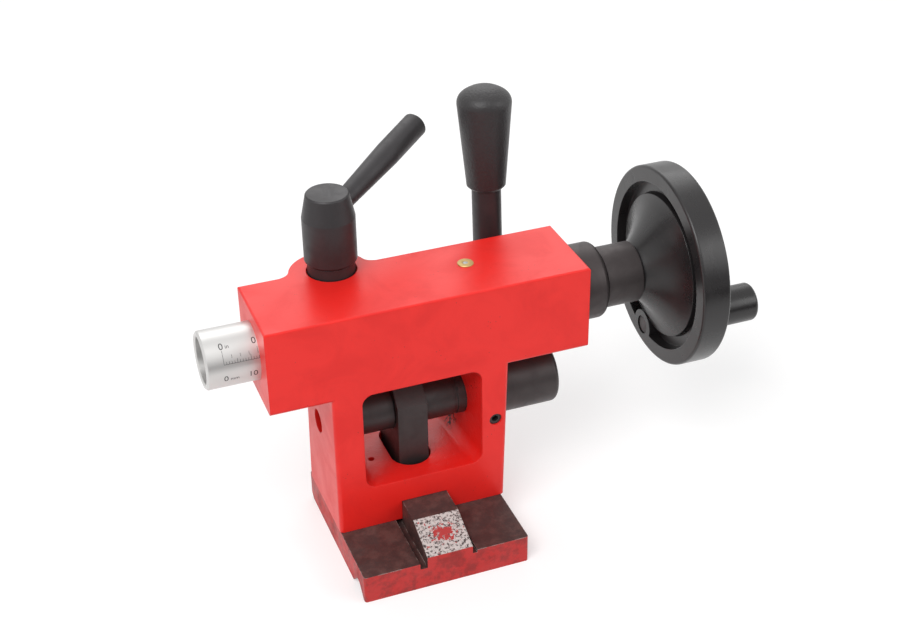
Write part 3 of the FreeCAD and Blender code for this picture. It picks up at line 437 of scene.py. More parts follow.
@dataclass(frozen=True)
class RedEnamel(Finish):
    """Orange-red enamel over a sand-cast skin, chipped at its edges."""

    name: str = "red_enamel"
    colour: Colour = (0.84, 0.0175, 0.0125)
    # Darker red: the enamel's own deeper tone in the handling smears, and also the painted shade inside the
    # window.
    deep: Colour = (0.66, 0.010, 0.008)
    chip: Colour = (0.045, 0.026, 0.024)
    roughness: float = 0.34
    specular: float = 0.42
    wear_width: float = 0.5 * MM
    wear_coverage: float = 0.36
    peel_size: float = 1.6 * MM
    relief: float = 0.16 * MM
    rounding: float = 0.5 * MM
    window_low: Vector = field(default_factory=Vector)
    window_high: Vector = field(default_factory=Vector)
    torn_front: tuple[float, float] = (4.0 * MM, 7.0 * MM)
    torn_top: tuple[float, float] = (40.0 * MM, 44.0 * MM)
    pitted_foot: tuple[float, float] = (52.0 * MM, 60.0 * MM)

    def wire(self, graph: Graph, shader: bpy.types.Node, place: Socket, facing: Socket) -> None:
        """Enamel, rougher and scabbed inside the window, with painted shade that darkens the window's walls,
        and small dark chips.

        Args:
            graph: The material's wiring.
            shader: Its Principled BSDF.
            place: Object coordinates, in metres.
            facing: Object-space normal.
        """
        inside = self.in_window(graph, place)
        film = FILM.place(graph, Vector=place, Scale=45.0)
        colour = graph.mix(graph.math("MULTIPLY", film["Smear"], 0.45), self.colour, self.deep)
        # Painted shade: the window's walls are mixed towards the darker red to stand in for the shade inside
        # the pocket.
        colour = graph.mix(graph.math("MULTIPLY", inside, 0.35), colour, self.deep)
        wear = EDGE_WEAR.place(graph, Vector=place, Width=self.wear_width, Break_Scale=240.0,
                               Coverage=self.wear_coverage)
        scab = self.scab(graph, place, inside)
        chips = graph.math("MAXIMUM", wear["Mask"],
                           graph.math("MAXIMUM", scab, graph.math("MULTIPLY", film["Specks"], 0.55)))
        graph.feed(shader.inputs["Base Color"], graph.mix(chips, colour, self.chip))
        rough = graph.math("MULTIPLY_ADD", film["Smear"], 0.10, self.roughness)
        graph.feed(shader.inputs["Roughness"], graph.math("MULTIPLY_ADD", chips, 0.3, rough))
        graph.feed(shader.inputs["Specular IOR Level"], self.specular)
        grain = CAST_GRAIN.place(graph, Vector=place, Scale=420.0, Pits=0.35)
        outer = graph.math("MULTIPLY", graph.noise(place, self.peel_size, 2.0), 0.16)
        inner = graph.math("MULTIPLY", grain["Height"], inside)
        height = graph.math("ADD", graph.math("ADD", outer, inner), graph.math("MULTIPLY", chips, -0.25))
        bump(graph, shader, height, self.relief, self.rounding)

    def in_window(self, graph: Graph, place: Socket) -> Socket:
        """Mask of the window's own walls.

        Args:
            graph: The material's wiring.
            place: Object coordinates, in metres.

        Returns:
            1 inside the window and 0 outside it.
        """
        mask: Wire = 1.0
        for value, low, high in zip(graph.axes(place), self.window_low, self.window_high):
            mask = graph.math("MULTIPLY", mask, graph.math("GREATER_THAN", value, low))
            mask = graph.math("MULTIPLY", mask, graph.math("LESS_THAN", value, high))
        return mask

    def scab(self, graph: Graph, place: Socket, inside: Socket) -> Socket:
        """Broken skin on the window's right wall, where the sand burned in.

        Args:
            graph: The material's wiring.
            place: Object coordinates, in metres.
            inside: Mask of the window.

        Returns:
            Mask of the broken skin.
        """
        x, y, z = graph.axes(place)
        wall = graph.span(x, self.window_high.x - 6.0 * MM, self.window_high.x - 4.0 * MM)
        low = graph.math("SUBTRACT", 1.0, graph.span(z, *self.torn_top))
        deep = graph.span(y, *self.torn_front)
        torn = graph.math("MULTIPLY", graph.math("MULTIPLY", low, deep),
                          graph.span(graph.noise(place, 2.4 * MM, 5.0, 0.7), 0.53, 0.57))
        pitted = graph.math("MULTIPLY", graph.span(z, *self.pitted_foot),
                            graph.span(graph.noise(place, 1.0 * MM, 4.0, 0.7), 0.62, 0.66))
        on_wall = graph.math("MULTIPLY", inside, wall)
        return graph.math("MULTIPLY", on_wall, graph.math("MAXIMUM", torn, pitted))


@dataclass(frozen=True)
class BaseFinish(Finish):
    """Base casting: dirty red sides, oxide-brown machined top, a primer patch on its key's slope."""

    name: str = "base_finish"
    red: Colour = (0.56, 0.022, 0.020)
    dirty_red: Colour = (0.26, 0.012, 0.011)
    oxide: Colour = (0.050, 0.028, 0.026)
    rubbed_oxide: Colour = (0.10, 0.052, 0.046)
    primer: Colour = (0.86, 0.80, 0.77)
    primer_speck: Colour = (0.03, 0.02, 0.02)
    slope_red: Colour = (0.62, 0.03, 0.03)
    bare: Colour = (0.45, 0.40, 0.37)
    roughness: float = 0.42
    relief: float = 0.10 * MM
    rounding: float = 0.35 * MM
    plate_top: float = 11.7 * MM
    left: float = -33.0 * MM
    right: float = 33.0 * MM
    patch_centre: Vector = Vector((1.4 * MM, -39.0 * MM, 17.0 * MM))
    patch_reach: tuple[float, float, float] = (0.20, 0.28, 0.28)

    def wire(self, graph: Graph, shader: bpy.types.Node, place: Socket, facing: Socket) -> None:
        """Each face's finish, told apart by where it faces.

        Args:
            graph: The material's wiring.
            shader: Its Principled BSDF.
            place: Object coordinates, in metres.
            facing: Object-space normal.
        """
        machined, slope = self.faces(graph, place, facing)
        film = FILM.place(graph, Vector=place, Scale=70.0)
        dirt = graph.noise(place, 5.0 * MM, 6.0, 0.65)
        red = graph.mix(graph.span(dirt, 0.42, 0.62, 0.1, 0.8), self.red, self.dirty_red)
        oxide = graph.mix(graph.span(dirt, 0.4, 0.7), self.oxide, self.rubbed_oxide)
        colour = graph.mix(machined, red, oxide)
        specks = graph.noise(place, 1.1 * MM, 6.0, 0.75)
        white = graph.mix(graph.span(specks, 0.50, 0.56), self.primer, self.primer_speck)
        patches = self.paint_left(graph, place)
        colour = graph.mix(slope, colour, graph.mix(patches, white, self.slope_red))
        wear = EDGE_WEAR.place(graph, Vector=place, Width=0.45 * MM, Break_Scale=200.0, Coverage=0.56)
        colour = graph.mix(graph.math("MULTIPLY", wear["Mask"], 0.8), colour, self.bare)
        graph.feed(shader.inputs["Base Color"], colour)
        graph.feed(shader.inputs["Roughness"], graph.math("MULTIPLY_ADD", film["Smear"], 0.2, self.roughness))
        grain = CAST_GRAIN.place(graph, Vector=place, Scale=520.0, Pits=0.3)
        bump(graph, shader, grain["Height"], self.relief, self.rounding)

    def faces(self, graph: Graph, place: Socket, facing: Socket) -> tuple[Socket, Socket]:
        """Masks of the machined faces and of the key's slope.

        Args:
            graph: The material's wiring.
            place: Object coordinates, in metres.
            facing: Object-space normal.

        Returns:
            The machined faces' mask and the slope's mask.
        """
        x, _, z = graph.axes(place)
        nx, ny, nz = graph.axes(facing)
        up = graph.span(nz, 0.8, 0.9)
        down = graph.span(nz, -0.9, -0.8, 1.0, 0.0)
        slope = graph.math("MULTIPLY", graph.span(nz, 0.3, 0.5), graph.span(ny, -0.5, -0.2, 1.0, 0.0))
        above = graph.math("GREATER_THAN", z, self.plate_top + 0.1 * MM)
        within = graph.math("MULTIPLY", graph.math("GREATER_THAN", x, self.left + MM),
                            graph.math("LESS_THAN", x, self.right - MM))
        sideways = graph.math("GREATER_THAN", graph.math("ABSOLUTE", nx), 0.7)
        inner = graph.math("MAXIMUM", above, graph.math("MULTIPLY", within, sideways))
        not_front = graph.span(ny, -0.8, -0.7)
        upper = graph.math("MULTIPLY", graph.math("MAXIMUM", up, inner), not_front)
        return graph.math("MAXIMUM", upper, down), slope

    def paint_left(self, graph: Graph, place: Socket) -> Socket:
        """Mask of the red that is left in the middle of the key's slope and in spots over it.

        Args:
            graph: The material's wiring.
            place: Object coordinates, in metres.

        Returns:
            The mask.
        """
        away = graph.add("VectorMath", {"operation": "SUBTRACT"})
        graph.feed(away.inputs[0], place)
        graph.feed(away.inputs[1], self.patch_centre)
        spread = graph.add("VectorMath", {"operation": "MULTIPLY"})
        graph.feed(spread.inputs[0], away.outputs[0])
        graph.feed(spread.inputs[1], [reach / MM for reach in self.patch_reach])
        far = graph.add("VectorMath", {"operation": "LENGTH"})
        graph.feed(far.inputs[0], spread.outputs[0])
        edge = graph.noise(place, 1.5 * MM, 5.0, 0.7)
        middle = graph.math("SUBTRACT", graph.math("MULTIPLY_ADD", edge, 5.5, -1.9), far.outputs["Value"])
        spots = graph.span(graph.noise(place, 2.0 * MM, 4.0, 0.6), 0.63, 0.66)
        return graph.math("MAXIMUM", graph.span(middle, 0.0, 0.08), spots)


@dataclass(frozen=True)
class TurnedMetal(Finish):
    """Turned or ground metal, with tool marks round one axis."""

    name: str = "turned_metal"
    colour: Colour = (0.6, 0.6, 0.6)
    worn: Colour = (0.7, 0.7, 0.7)
    metallic: float = 1.0
    roughness: float = 0.3
    spread: float = 0.12
    axis: Axis = Axis.X
    lines_per_m: float = 6000.0
    depth: float = 0.008 * MM
    wear: float = 0.4
    smear: float = 0.25
    smear_shade: float = 0.72
    speck_shade: float = 0.4
    rounding: float = 0.25 * MM

    def wire(self, graph: Graph, shader: bpy.types.Node, place: Socket, facing: Socket) -> None:
        """Base metal, tool marks, worn edges and a handling film.

        Args:
            graph: The material's wiring.
            shader: Its Principled BSDF.
            place: Object coordinates, in metres.
            facing: Object-space normal.
        """
        along = graph.axes(place)[self.axis.value]
        marks = TURNING.place(graph, Along=along, Lines_per_m=self.lines_per_m, Uneven=0.9)
        film = FILM.place(graph, Vector=place, Scale=110.0)
        wear = EDGE_WEAR.place(graph, Vector=place, Width=0.35 * MM, Break_Scale=420.0, Coverage=self.wear)
        dark = tuple(channel * self.smear_shade for channel in self.colour)
        colour = graph.mix(graph.math("MULTIPLY", film["Smear"], self.smear), self.colour, dark)
        speck = tuple(channel * self.speck_shade for channel in self.colour)
        colour = graph.mix(graph.math("MULTIPLY", film["Specks"], 0.4), colour, speck)
        graph.feed(shader.inputs["Base Color"], graph.mix(wear["Mask"], colour, self.worn))
        shader.inputs["Metallic"].default_value = self.metallic
        line = graph.math("MULTIPLY_ADD", marks["Height"], self.spread, self.roughness - 0.5 * self.spread)
        graph.feed(shader.inputs["Roughness"], graph.math("MULTIPLY_ADD", film["Smear"], 0.1, line))
        bump(graph, shader, marks["Height"], self.depth, self.rounding)


@dataclass(frozen=True)
class MouldedPlastic(Finish):
    """Moulded plastic, glossy or grained."""

    name: str = "moulded_plastic"
    colour: Colour = (0.012, 0.012, 0.013)
    roughness: float = 0.22
    scuff: float = 0.25
    grain_size: float = 0.9 * MM
    grain_depth: float = 0.004 * MM
    scratch_size: float = 0.5 * MM
    scratch_stretch: tuple[float, float, float] = (1.0, 0.12, 0.12)
    rounding: float = 0.35 * MM

    def wire(self, graph: Graph, shader: bpy.types.Node, place: Socket, facing: Socket) -> None:
        """Plastic with scuffs and a moulded grain.

        Args:
            graph: The material's wiring.
            shader: Its Principled BSDF.
            place: Object coordinates, in metres.
            facing: Object-space normal.
        """
        film = FILM.place(graph, Vector=place, Scale=55.0)
        scratches = graph.noise(graph.stretch(place, self.scratch_stretch), self.scratch_size, 6.0, 0.8)
        scuffed = graph.math("MULTIPLY", graph.span(scratches, 0.56, 0.72), film["Smear"])
        pale = tuple(channel * 2.2 + 0.02 for channel in self.colour)
        colour = graph.mix(graph.math("MULTIPLY", scuffed, self.scuff), self.colour, pale)
        graph.feed(shader.inputs["Base Color"], colour)
        rough = graph.math("MULTIPLY_ADD", scuffed, 0.25, self.roughness)
        graph.feed(shader.inputs["Roughness"], graph.math("MULTIPLY_ADD", film["Smear"], 0.07, rough))
        bump(graph, shader, graph.noise(place, self.grain_size, 2.0), self.grain_depth, self.rounding)


@dataclass(frozen=True)
class Ink(Finish):
    """Dark paint in an engraved mark."""

    name: str = "engraving_ink"
    colour: Colour = (0.025, 0.024, 0.026)
    thinned: Colour = (0.16, 0.155, 0.16)
    roughness: float = 0.6
    relief: float = 0.01 * MM

    def wire(self, graph: Graph, shader: bpy.types.Node, place: Socket, facing: Socket) -> None:
        """Ink that has worn thin in places.

        Args:
            graph: The material's wiring.
            shader: Its Principled BSDF.
            place: Object coordinates, in metres.
            facing: Object-space normal.
        """
        thin = graph.span(graph.noise(place, 0.35 * MM, 3.0), 0.5, 0.75, 0.0, 0.5)
        graph.feed(shader.inputs["Base Color"], graph.mix(thin, self.colour, self.thinned))
        shader.inputs["Roughness"].default_value = self.roughness
        bump(graph, shader, graph.noise(place, 0.2 * MM, 2.0), self.relief)


BLACK_OXIDE = TurnedMetal(
    name="black_oxide", colour=(0.060, 0.050, 0.050), worn=(0.16, 0.145, 0.135), metallic=0.55,
    roughness=0.36, spread=0.14, axis=Axis.X, lines_per_m=5200.0, depth=0.010 * MM, wear=0.42, smear=0.4)
BLACK_OXIDE_UPRIGHT = TurnedMetal(
    name="black_oxide_upright", colour=(0.045, 0.042, 0.044), worn=(0.15, 0.14, 0.135), metallic=0.5,
    roughness=0.33, spread=0.14, axis=Axis.Z, lines_per_m=5200.0, depth=0.010 * MM, wear=0.42, smear=0.4)
GROUND_STEEL = TurnedMetal(
    name="ground_steel", colour=(0.33, 0.325, 0.335), worn=(0.70, 0.70, 0.70), metallic=1.0,
    roughness=0.20, spread=0.22, axis=Axis.X, lines_per_m=5200.0, depth=0.012 * MM, wear=0.6, smear=0.35)
BRIGHT_STEEL = TurnedMetal(
    name="bright_steel", colour=(0.56, 0.55, 0.54), worn=(0.7, 0.7, 0.7), metallic=1.0,
    roughness=0.28, spread=0.14, axis=Axis.X, lines_per_m=5000.0, depth=0.008 * MM, wear=0.5, smear=0.3)
BRASS = TurnedMetal(
    name="turned_brass", colour=(0.66, 0.47, 0.20), worn=(0.8, 0.62, 0.32), metallic=1.0,
    roughness=0.30, spread=0.12, axis=Axis.Z, lines_per_m=8000.0, depth=0.006 * MM, wear=0.4, smear=0.5)
BRONZE = TurnedMetal(
    name="turned_bronze", colour=(0.50, 0.31, 0.15), worn=(0.66, 0.45, 0.25), metallic=1.0,
    roughness=0.34, spread=0.12, axis=Axis.X, lines_per_m=6000.0, depth=0.006 * MM, wear=0.4, smear=0.4)
GLOSSY_BLACK = MouldedPlastic(
    name="glossy_black", colour=(0.014, 0.0125, 0.013), roughness=0.26, scuff=0.45,
    grain_size=2.6 * MM, grain_depth=0.012 * MM)
GRAINED_BLACK = MouldedPlastic(
    name="grained_black", colour=(0.020, 0.018, 0.019), roughness=0.40, scuff=0.4,
    grain_size=0.75 * MM, grain_depth=0.20 * MM)
INK = Ink()


# ====================================================================== mesh helpers
def new_piece(name: str, mesh: bpy.types.Mesh, finish: Finish, body: str) -> bpy.types.Object:
    """Adds a piece to the scene, finishes it and lets it ride.

    Args:
        name: The piece's name.
        mesh: Its mesh, in place.
        finish: Its finish.
        body: The body that it moves with.

    Returns:
        The new object.
    """
    piece = bpy.data.objects.new(name, mesh)
    bpy.context.scene.collection.objects.link(piece)
    mesh.materials.append(finish.material())
    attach(piece, body)
    LOG.info("%s: %d faces, rides on %s", name, len(mesh.polygons), body)
    return piece


def mesh_of(name: str, work: bmesh.types.BMesh, smooth_angle: float = 40.0) -> bpy.types.Mesh:
    """Mesh from a bmesh, shaded smooth below an angle.

    Args:
        name: The mesh's name.
        work: The mesh under work, which is freed.
        smooth_angle: Angle between faces in degrees, from which their edge is sharp.

    Returns:
        The mesh.
    """
    bmesh.ops.recalc_face_normals(work, faces=work.faces)
    mesh = bpy.data.meshes.new(name)
    work.to_mesh(mesh)
    work.free()
    mesh.shade_smooth()
    mesh.set_sharp_from_angle(angle=math.radians(smooth_angle))
    return mesh


# ====================================================================== sub-assemblies
class SubAssembly:
    """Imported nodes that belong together."""

    def finishes(self) -> dict[str, Finish]:
        """Each node's finish by the node's name, for the subclass to give."""
        raise NotImplementedError

    def dress(self, nodes: dict[str, bpy.types.Object]) -> set[str]:
        """Gives each node of the sub-assembly its finish.

        Args:
            nodes: The frame's nodes by name.

        Returns:
            Names of the nodes that were dressed.
        """
        finishes = self.finishes()
        for name, finish in finishes.items():
            mesh = nodes[name].data
            mesh.materials.clear()
            mesh.materials.append(finish.material())
            for polygon in mesh.polygons:
                polygon.material_index = 0
            LOG.info("%s: %s of %s", name, finish.name, type(self).__name__)
        return set(finishes)


@dataclass
class Castings(SubAssembly):
    """Red upper casting with its window, the base under it and the screws between them."""

    window_left: float = -22.4 * MM
    window_right: float = 25.8 * MM
    window_floor: float = 29.6 * MM
    window_top: float = 72.6 * MM
    front_margin: float = 0.4 * MM

    def finishes(self) -> dict[str, Finish]:
        """Enamel with the window's place in it, and the base's own finish.

        Returns:
            Each node's finish by the node's name.
        """
        low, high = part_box("body_casting")
        window_low = Vector((self.window_left, low.y + self.front_margin, self.window_floor))
        window_high = Vector((self.window_right, high.y, self.window_top))
        enamel = RedEnamel(window_low=window_low, window_high=window_high)
        return {"body_casting": enamel, "base_casting": BaseFinish(),
                "base_bolt_1": BLACK_OXIDE_UPRIGHT, "base_bolt_2": BLACK_OXIDE_UPRIGHT}


@dataclass
class QuillDrive(SubAssembly):
    """Quill, screw, bearing and handwheel with its crank handle."""

    def finishes(self) -> dict[str, Finish]:
        """Ground quill, bright screw, blackened housings and a black wheel."""
        return {"quill": GROUND_STEEL, "quill_key_screw": BLACK_OXIDE_UPRIGHT, "leadscrew": BRIGHT_STEEL,
                "inner_thrust_washer": BRONZE, "outer_thrust_washer": BRONZE, "drive_key": BRIGHT_STEEL,
                "bearing_flange": BLACK_OXIDE, "drive_collar": BLACK_OXIDE, "handwheel": GLOSSY_BLACK,
                "handwheel_washer": BRIGHT_STEEL, "handwheel_nut": BRIGHT_STEEL,
                "handle_spindle": BLACK_OXIDE, "handle_sleeve": GLOSSY_BLACK, "handle_nut": BLACK_OXIDE}


@dataclass
class QuillLock(SubAssembly):
    """Lock lever with its hub, arm, split cotter and stud."""

    def finishes(self) -> dict[str, Finish]:
        """Blackened lever and cotters on a bright stud."""
        return {"lock_hub": BLACK_OXIDE_UPRIGHT, "lock_arm": BLACK_OXIDE_UPRIGHT,
                "lock_upper_cotter": BLACK_OXIDE_UPRIGHT, "lock_lower_cotter": BLACK_OXIDE_UPRIGHT,
                "lock_stud": BRIGHT_STEEL}


@dataclass
class CamLock(SubAssembly):
    """Clamp shaft with its lever, grip and link."""

    def finishes(self) -> dict[str, Finish]:
        """Blackened steel with a grained grip."""
        return {"cam_shaft": BLACK_OXIDE, "cam_retaining_screw": BLACK_OXIDE, "clamp_link": BLACK_OXIDE,
                "cam_lever_rod": BLACK_OXIDE_UPRIGHT, "cam_lever_grip": GRAINED_BLACK}


@dataclass
class Oiler(SubAssembly):
    """Ball oiler on top of the beam."""

    def finishes(self) -> dict[str, Finish]:
        """Brass body with a bright ball and spring."""
        return {"oiler_body": BRASS, "oiler_ball": BRIGHT_STEEL, "oiler_spring": BRIGHT_STEEL}


@dataclass(frozen=True)
class Label:
    """Words on the quill: their height, their left end behind the nose and the angle of their foot."""

    words: str
    height: float
    along: float
    angle: float


@dataclass
class QuillScale:
    """Millimetre and inch scales engraved on the quill."""

    axis_height: float
    nose: float
    radius: float
    depth: float = 0.02 * MM
    zero: float = 6.6 * MM
    line_width: float = 0.13 * MM
    facet: float = 3.0
    base_angle: float = 16.0
    mm_angles: tuple[float, float, float] = (21.0, 24.0, 27.0)
    mm_count: int = 60
    inch_foot: float = 26.0
    inch_angles: tuple[float, float] = (33.0, 38.0)
    inch_step: float = 25.4 / 8 * MM
    inch_count: int = 19
    steps_per_half_inch: int = 4
    zero_top: float = 43.0
    numeral_height: float = 2.5 * MM
    unit_height: float = 1.5 * MM
    mm_words_angle: float = -21.0
    inch_words_angle: float = 45.0
    inch_unit_angle: float = 46.0
    two_digits_shift: float = 1.6
    type_height: float = 0.7
    weld: float = 1e-7
    fold: float = 0.25 * MM

    def on_surface(self, along: float, angle: float, lift: float) -> Vector:
        """Point on the quill.

        Args:
            along: Distance behind the nose.
            angle: Degrees up from the front, round the axis.
            lift: Height over the surface.

        Returns:
            The point.
        """
        turn = math.radians(angle)
        reach = self.radius + lift
        return Vector((self.nose + along, -reach * math.cos(turn), self.axis_height + reach * math.sin(turn)))

    def patch(self, work: bmesh.types.BMesh, along: tuple[float, float], angles: tuple[float, float]) -> None:
        """Adds a thin closed strip that follows the surface.

        Args:
            work: The mesh under work.
            along: Its two ends behind the nose.
            angles: Its lower and upper angles.
        """
        steps = max(1, math.ceil((angles[1] - angles[0]) / self.facet))
        rings = []
        for step in range(steps + 1):
            angle = angles[0] + (angles[1] - angles[0]) * step / steps
            rings.append([work.verts.new(self.on_surface(a, angle, lift))
                          for a, lift in ((along[0], -self.depth), (along[1], -self.depth),
                                          (along[1], self.depth), (along[0], self.depth))])
        for low, high in zip(rings, rings[1:]):
            for k in range(4):
                work.faces.new((low[k], low[(k + 1) % 4], high[(k + 1) % 4], high[k]))
        work.faces.new(rings[0])
        work.faces.new(rings[-1])

    def tick(self, work: bmesh.types.BMesh, along: float, top: float, bottom: float) -> None:
        """Adds a line round the quill at a distance behind the nose, between two angles."""
        half = self.line_width / 2
        self.patch(work, (along - half, along + half), (bottom, top))

    def lines(self) -> bmesh.types.BMesh:
        """The base line and both rows of ticks.

        Returns:
            The mesh under work.
        """
        work = bmesh.new()
        width = math.degrees(self.line_width / self.radius)
        last = self.zero + self.mm_count * MM
        self.patch(work, (self.zero, last), (self.base_angle - width / 2, self.base_angle + width / 2))
        self.tick(work, self.zero, self.zero_top, self.base_angle)
        for number in range(1, self.mm_count + 1):
            kind = 2 if number % 10 == 0 else 1 if number % 5 == 0 else 0
            self.tick(work, self.zero + number * MM, self.mm_angles[kind], self.base_angle)
        for number in range(1, self.inch_count):
            top = self.inch_angles[1] if number % self.steps_per_half_inch == 0 else self.inch_angles[0]
            self.tick(work, self.zero + number * self.inch_step, top, self.inch_foot)
        return work

    def labels(self) -> list[Label]:
        """The zeros with their units, the tens of millimetres and the half inches.

        Returns:
            The labels, in the order they are made in.
        """
        labels = [Label("0", self.numeral_height, self.zero - 0.6 * MM, self.mm_words_angle),
                  Label("mm", self.unit_height, self.zero + 1.8 * MM, self.mm_words_angle),
                  Label("0", self.numeral_height, self.zero - 0.9 * MM, self.inch_words_angle),
                  Label("in", self.unit_height, self.zero + 1.4 * MM, self.inch_unit_angle)]
        for tens in range(10, self.mm_count + 1, 10):
            along = self.zero + (tens - self.two_digits_shift) * MM
            labels.append(Label(str(tens), self.numeral_height, along, self.mm_words_angle))
        for number in range(self.steps_per_half_inch, self.inch_count, self.steps_per_half_inch):
            along = self.zero + number * self.inch_step - self.two_digits_shift * MM
            words = "%.1f" % (number / (2 * self.steps_per_half_inch))
            labels.append(Label(words, self.numeral_height, along, self.inch_words_angle))
        return labels

    def text(self, label: Label) -> bpy.types.Mesh:
        """Characters wrapped on the quill.

        Args:
            label: What they say, and where.

        Returns:
            The characters' mesh.
        """
        curve = bpy.data.curves.new("characters", "FONT")
        curve.body = label.words
        curve.size = label.height / self.type_height
        curve.extrude = self.depth
        curve.resolution_u = 4
        holder = bpy.data.objects.new("characters", curve)
        bpy.context.scene.collection.objects.link(holder)
        bpy.context.view_layer.update()
        mesh = bpy.data.meshes.new_from_object(holder.evaluated_get(bpy.context.evaluated_depsgraph_get()))
        work = bmesh.new()
        work.from_mesh(mesh)
        bpy.data.objects.remove(holder)
        bpy.data.curves.remove(curve)
        bmesh.ops.remove_doubles(work, verts=work.verts, dist=self.weld)
        for step in range(1, math.ceil(label.height / self.fold)):
            bmesh.ops.bisect_plane(work, geom=[*work.verts, *work.edges, *work.faces], dist=self.weld,
                                   plane_co=(0.0, step * self.fold, 0.0), plane_no=(0.0, 1.0, 0.0))
        for vertex in work.verts:
            up = math.degrees(vertex.co.y / self.radius)
            vertex.co = self.on_surface(label.along + vertex.co.x, label.angle + up, vertex.co.z)
        work.to_mesh(mesh)
        work.free()
        return mesh

    def build(self) -> None:
        """Makes the ticks and the numerals."""
        lines = mesh_of("quill_scale_lines", self.lines())
        new_piece("quill_scale_lines", lines, INK, "quill")
        whole = bmesh.new()
        for label in self.labels():
            characters = self.text(label)
            whole.from_mesh(characters)
            bpy.data.meshes.remove(characters)
        numerals = mesh_of("quill_scale_numerals", whole)
        new_piece("quill_scale_numerals", numerals, INK, "quill")


# ====================================================================== studio
@dataclass(frozen=True)
class Lamp:
    """A square soft lamp: where it stands from the target, its side and its power in watts."""

    name: str
    place: tuple[float, float, float]
    size: float
    power: float


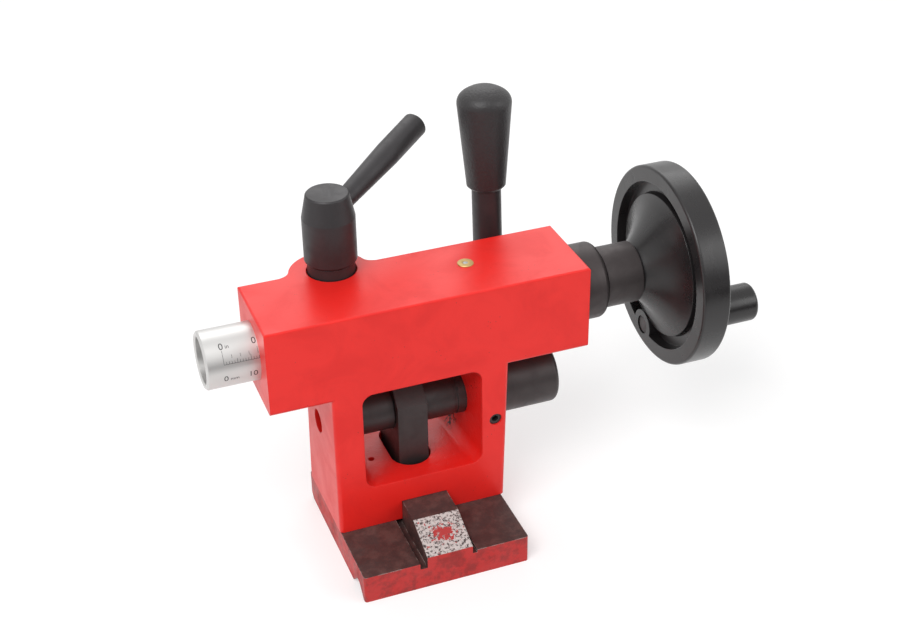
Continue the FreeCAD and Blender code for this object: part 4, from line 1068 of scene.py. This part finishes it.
@dataclass
class Studio:
    """Camera, lamps, world and floor."""

    floor_height: float
    target: Vector = field(default_factory=lambda: Vector((19.906 * MM, 0.0, 88.744 * MM)))
    azimuth: float = -20.248
    elevation: float = 31.452
    roll: float = -0.966
    distance: float = 591.718 * MM
    lens: float = 62.68
    sensor: float = 36.0
    near_clip: float = 0.01
    lamps: tuple[Lamp, ...] = (Lamp("key", (-0.7, -0.6, 1.1), 0.8, 12.0),
                               Lamp("fill", (0.9, -0.8, 0.6), 0.7, 3.5),
                               Lamp("back", (0.3, 0.9, 0.9), 0.9, 4.0))
    white: Colour = (1.0, 1.0, 1.0)
    room_dark: Colour = (0.16, 0.16, 0.17)
    room_light: float = 0.56
    floor_half: float = 4.0
    floor_colour: Colour = (0.62, 0.62, 0.62)
    floor_glow: float = 0.42
    card_half: float = 0.45
    card_front: float = -0.30
    card_height: float = 0.072
    card_colour: Colour = (0.03, 0.03, 0.03)

    def directions(self) -> tuple[Vector, Vector, Vector]:
        """The camera's directions.

        Returns:
            Its right, up and backward directions.
        """
        turn = math.radians(self.azimuth)
        rise = math.radians(self.elevation)
        back = Vector((math.sin(turn) * math.cos(rise), -math.cos(turn) * math.cos(rise), math.sin(rise)))
        right = Vector((math.cos(turn), math.sin(turn), 0.0))
        up = back.cross(right)
        tilt = math.radians(self.roll)
        tilted_right = right * math.cos(tilt) + up * math.sin(tilt)
        tilted_up = up * math.cos(tilt) - right * math.sin(tilt)
        return tilted_right, tilted_up, back

    def camera(self) -> None:
        """Makes the camera."""
        data = bpy.data.cameras.new("camera")
        data.lens = self.lens
        data.sensor_width = self.sensor
        data.clip_start = self.near_clip
        camera = bpy.data.objects.new("camera", data)
        right, up, back = self.directions()
        turn = Matrix((right, up, back)).transposed().to_4x4()
        camera.matrix_world = Matrix.Translation(self.target + back * self.distance) @ turn
        bpy.context.scene.collection.objects.link(camera)
        bpy.context.scene.camera = camera

    def light(self, lamp: Lamp) -> None:
        """Makes a lamp that is aimed at the target.

        Args:
            lamp: The lamp's size, place and power.
        """
        data = bpy.data.lights.new(lamp.name, "AREA")
        data.shape = "SQUARE"
        data.size = lamp.size
        data.energy = lamp.power
        holder = bpy.data.objects.new(lamp.name, data)
        holder.location = self.target + Vector(lamp.place)
        holder.rotation_euler = Vector(lamp.place).to_track_quat("Z", "Y").to_euler()
        bpy.context.scene.collection.objects.link(holder)

    def world(self) -> None:
        """A pale room, darker low in front, so that metal has something to reflect."""
        world = bpy.data.worlds.new("room")
        world.use_nodes = True
        bpy.context.scene.world = world
        graph = Graph(world.node_tree)
        place = graph.add("TexCoord").outputs["Generated"]
        _, y, z = graph.axes(place)
        front = graph.span(y, -0.9, -0.2, 1.0, 0.0)
        low = graph.span(z, -0.05, 0.45, 1.0, 0.0)
        seen = graph.mix(graph.math("MULTIPLY", front, low), self.white, self.room_dark)
        path = graph.add("LightPath").outputs
        glossy = graph.math("MAXIMUM", path["Is Glossy Ray"], path["Is Transmission Ray"])
        colour = graph.mix(glossy, self.white, seen)
        sharp = graph.math("MAXIMUM", glossy, path["Is Camera Ray"])
        strength = graph.span(sharp, 0.0, 1.0, self.room_light, 1.0)
        shader = graph.add("Background", Color=colour, Strength=strength)
        out = graph.add("OutputWorld")
        world.node_tree.links.new(shader.outputs[0], out.inputs["Surface"])

    def floor(self) -> None:
        """Makes a pale floor that keeps the object's shadow."""
        work = bmesh.new()
        bmesh.ops.create_grid(work, x_segments=1, y_segments=1, size=self.floor_half)
        mesh = mesh_of("floor", work)
        floor = bpy.data.objects.new("floor", mesh)
        floor.location.z = self.floor_height
        bpy.context.scene.collection.objects.link(floor)
        material = bpy.data.materials.new("floor")
        material.use_nodes = True
        graph = Graph(material.node_tree)
        matte = graph.add("BsdfDiffuse", Color=self.floor_colour)
        glow = graph.add("Emission", Color=self.white, Strength=self.floor_glow)
        path = graph.add("LightPath").outputs
        both = graph.add("AddShader")
        material.node_tree.links.new(matte.outputs[0], both.inputs[0])
        material.node_tree.links.new(glow.outputs[0], both.inputs[1])
        seen = graph.math("MAXIMUM", path["Is Camera Ray"],
                          graph.math("MAXIMUM", path["Is Glossy Ray"], path["Is Transmission Ray"]))
        choice = graph.add("MixShader", Fac=seen)
        material.node_tree.links.new(matte.outputs[0], choice.inputs[1])
        material.node_tree.links.new(both.outputs[0], choice.inputs[2])
        out = graph.add("OutputMaterial")
        material.node_tree.links.new(choice.outputs[0], out.inputs["Surface"])
        mesh.materials.append(material)
        floor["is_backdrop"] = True

    def card(self) -> None:
        """Makes a low dark card before the object, which only reflections show."""
        work = bmesh.new()
        foot, top = self.floor_height, self.floor_height + self.card_height
        work.faces.new([work.verts.new(corner) for corner in
                        ((-self.card_half, self.card_front, foot), (self.card_half, self.card_front, foot),
                         (self.card_half, self.card_front, top), (-self.card_half, self.card_front, top))])
        mesh = mesh_of("flag", work)
        card = bpy.data.objects.new("flag", mesh)
        bpy.context.scene.collection.objects.link(card)
        card.visible_camera = False
        card.visible_diffuse = False
        card.visible_shadow = False
        material = bpy.data.materials.new("flag")
        material.use_nodes = True
        graph = Graph(material.node_tree)
        cloth = graph.add("BsdfDiffuse", Color=self.card_colour)
        out = graph.add("OutputMaterial")
        material.node_tree.links.new(cloth.outputs[0], out.inputs["Surface"])
        mesh.materials.append(material)
        card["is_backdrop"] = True

    def build(self) -> None:
        """Sets up the whole studio."""
        self.camera()
        for lamp in self.lamps:
            self.light(lamp)
        self.world()
        self.floor()
        self.card()
        LOG.info("studio: camera, %d lamps, room, floor and card", len(self.lamps))


def corners() -> list[list[float]]:
    """The shown object's lowest and highest corners, as plain lists."""
    return [list(corner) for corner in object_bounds()]


def main() -> None:
    """Loads the frame, dresses it, adds the fine pieces and sets up the studio.

    Raises:
        ValueError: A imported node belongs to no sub-assembly.
    """
    logging.basicConfig(level=logging.INFO, format="%(message)s")
    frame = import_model()
    cad_box = corners()
    scene = bpy.context.scene
    scene.view_settings.view_transform = "Standard"
    dressed: set[str] = set()
    for assembly in (Castings(), QuillDrive(), QuillLock(), CamLock(), Oiler()):
        dressed |= assembly.dress(frame["nodes"])
    undressed = set(frame["nodes"]) - dressed
    if undressed:
        raise ValueError("no finish for " + ", ".join(sorted(undressed)))
    mounts = {mount["name"]: mount for mount in frame["record"]["mounts"]}
    taper = mounts["quill_taper"]["pos_m"]
    quill_low, quill_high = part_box("quill")
    QuillScale(taper[2], taper[0], (quill_high.z - quill_low.z) / 2).build()
    Studio(cad_box[0][2]).build()


if __name__ == "__main__":
    main()
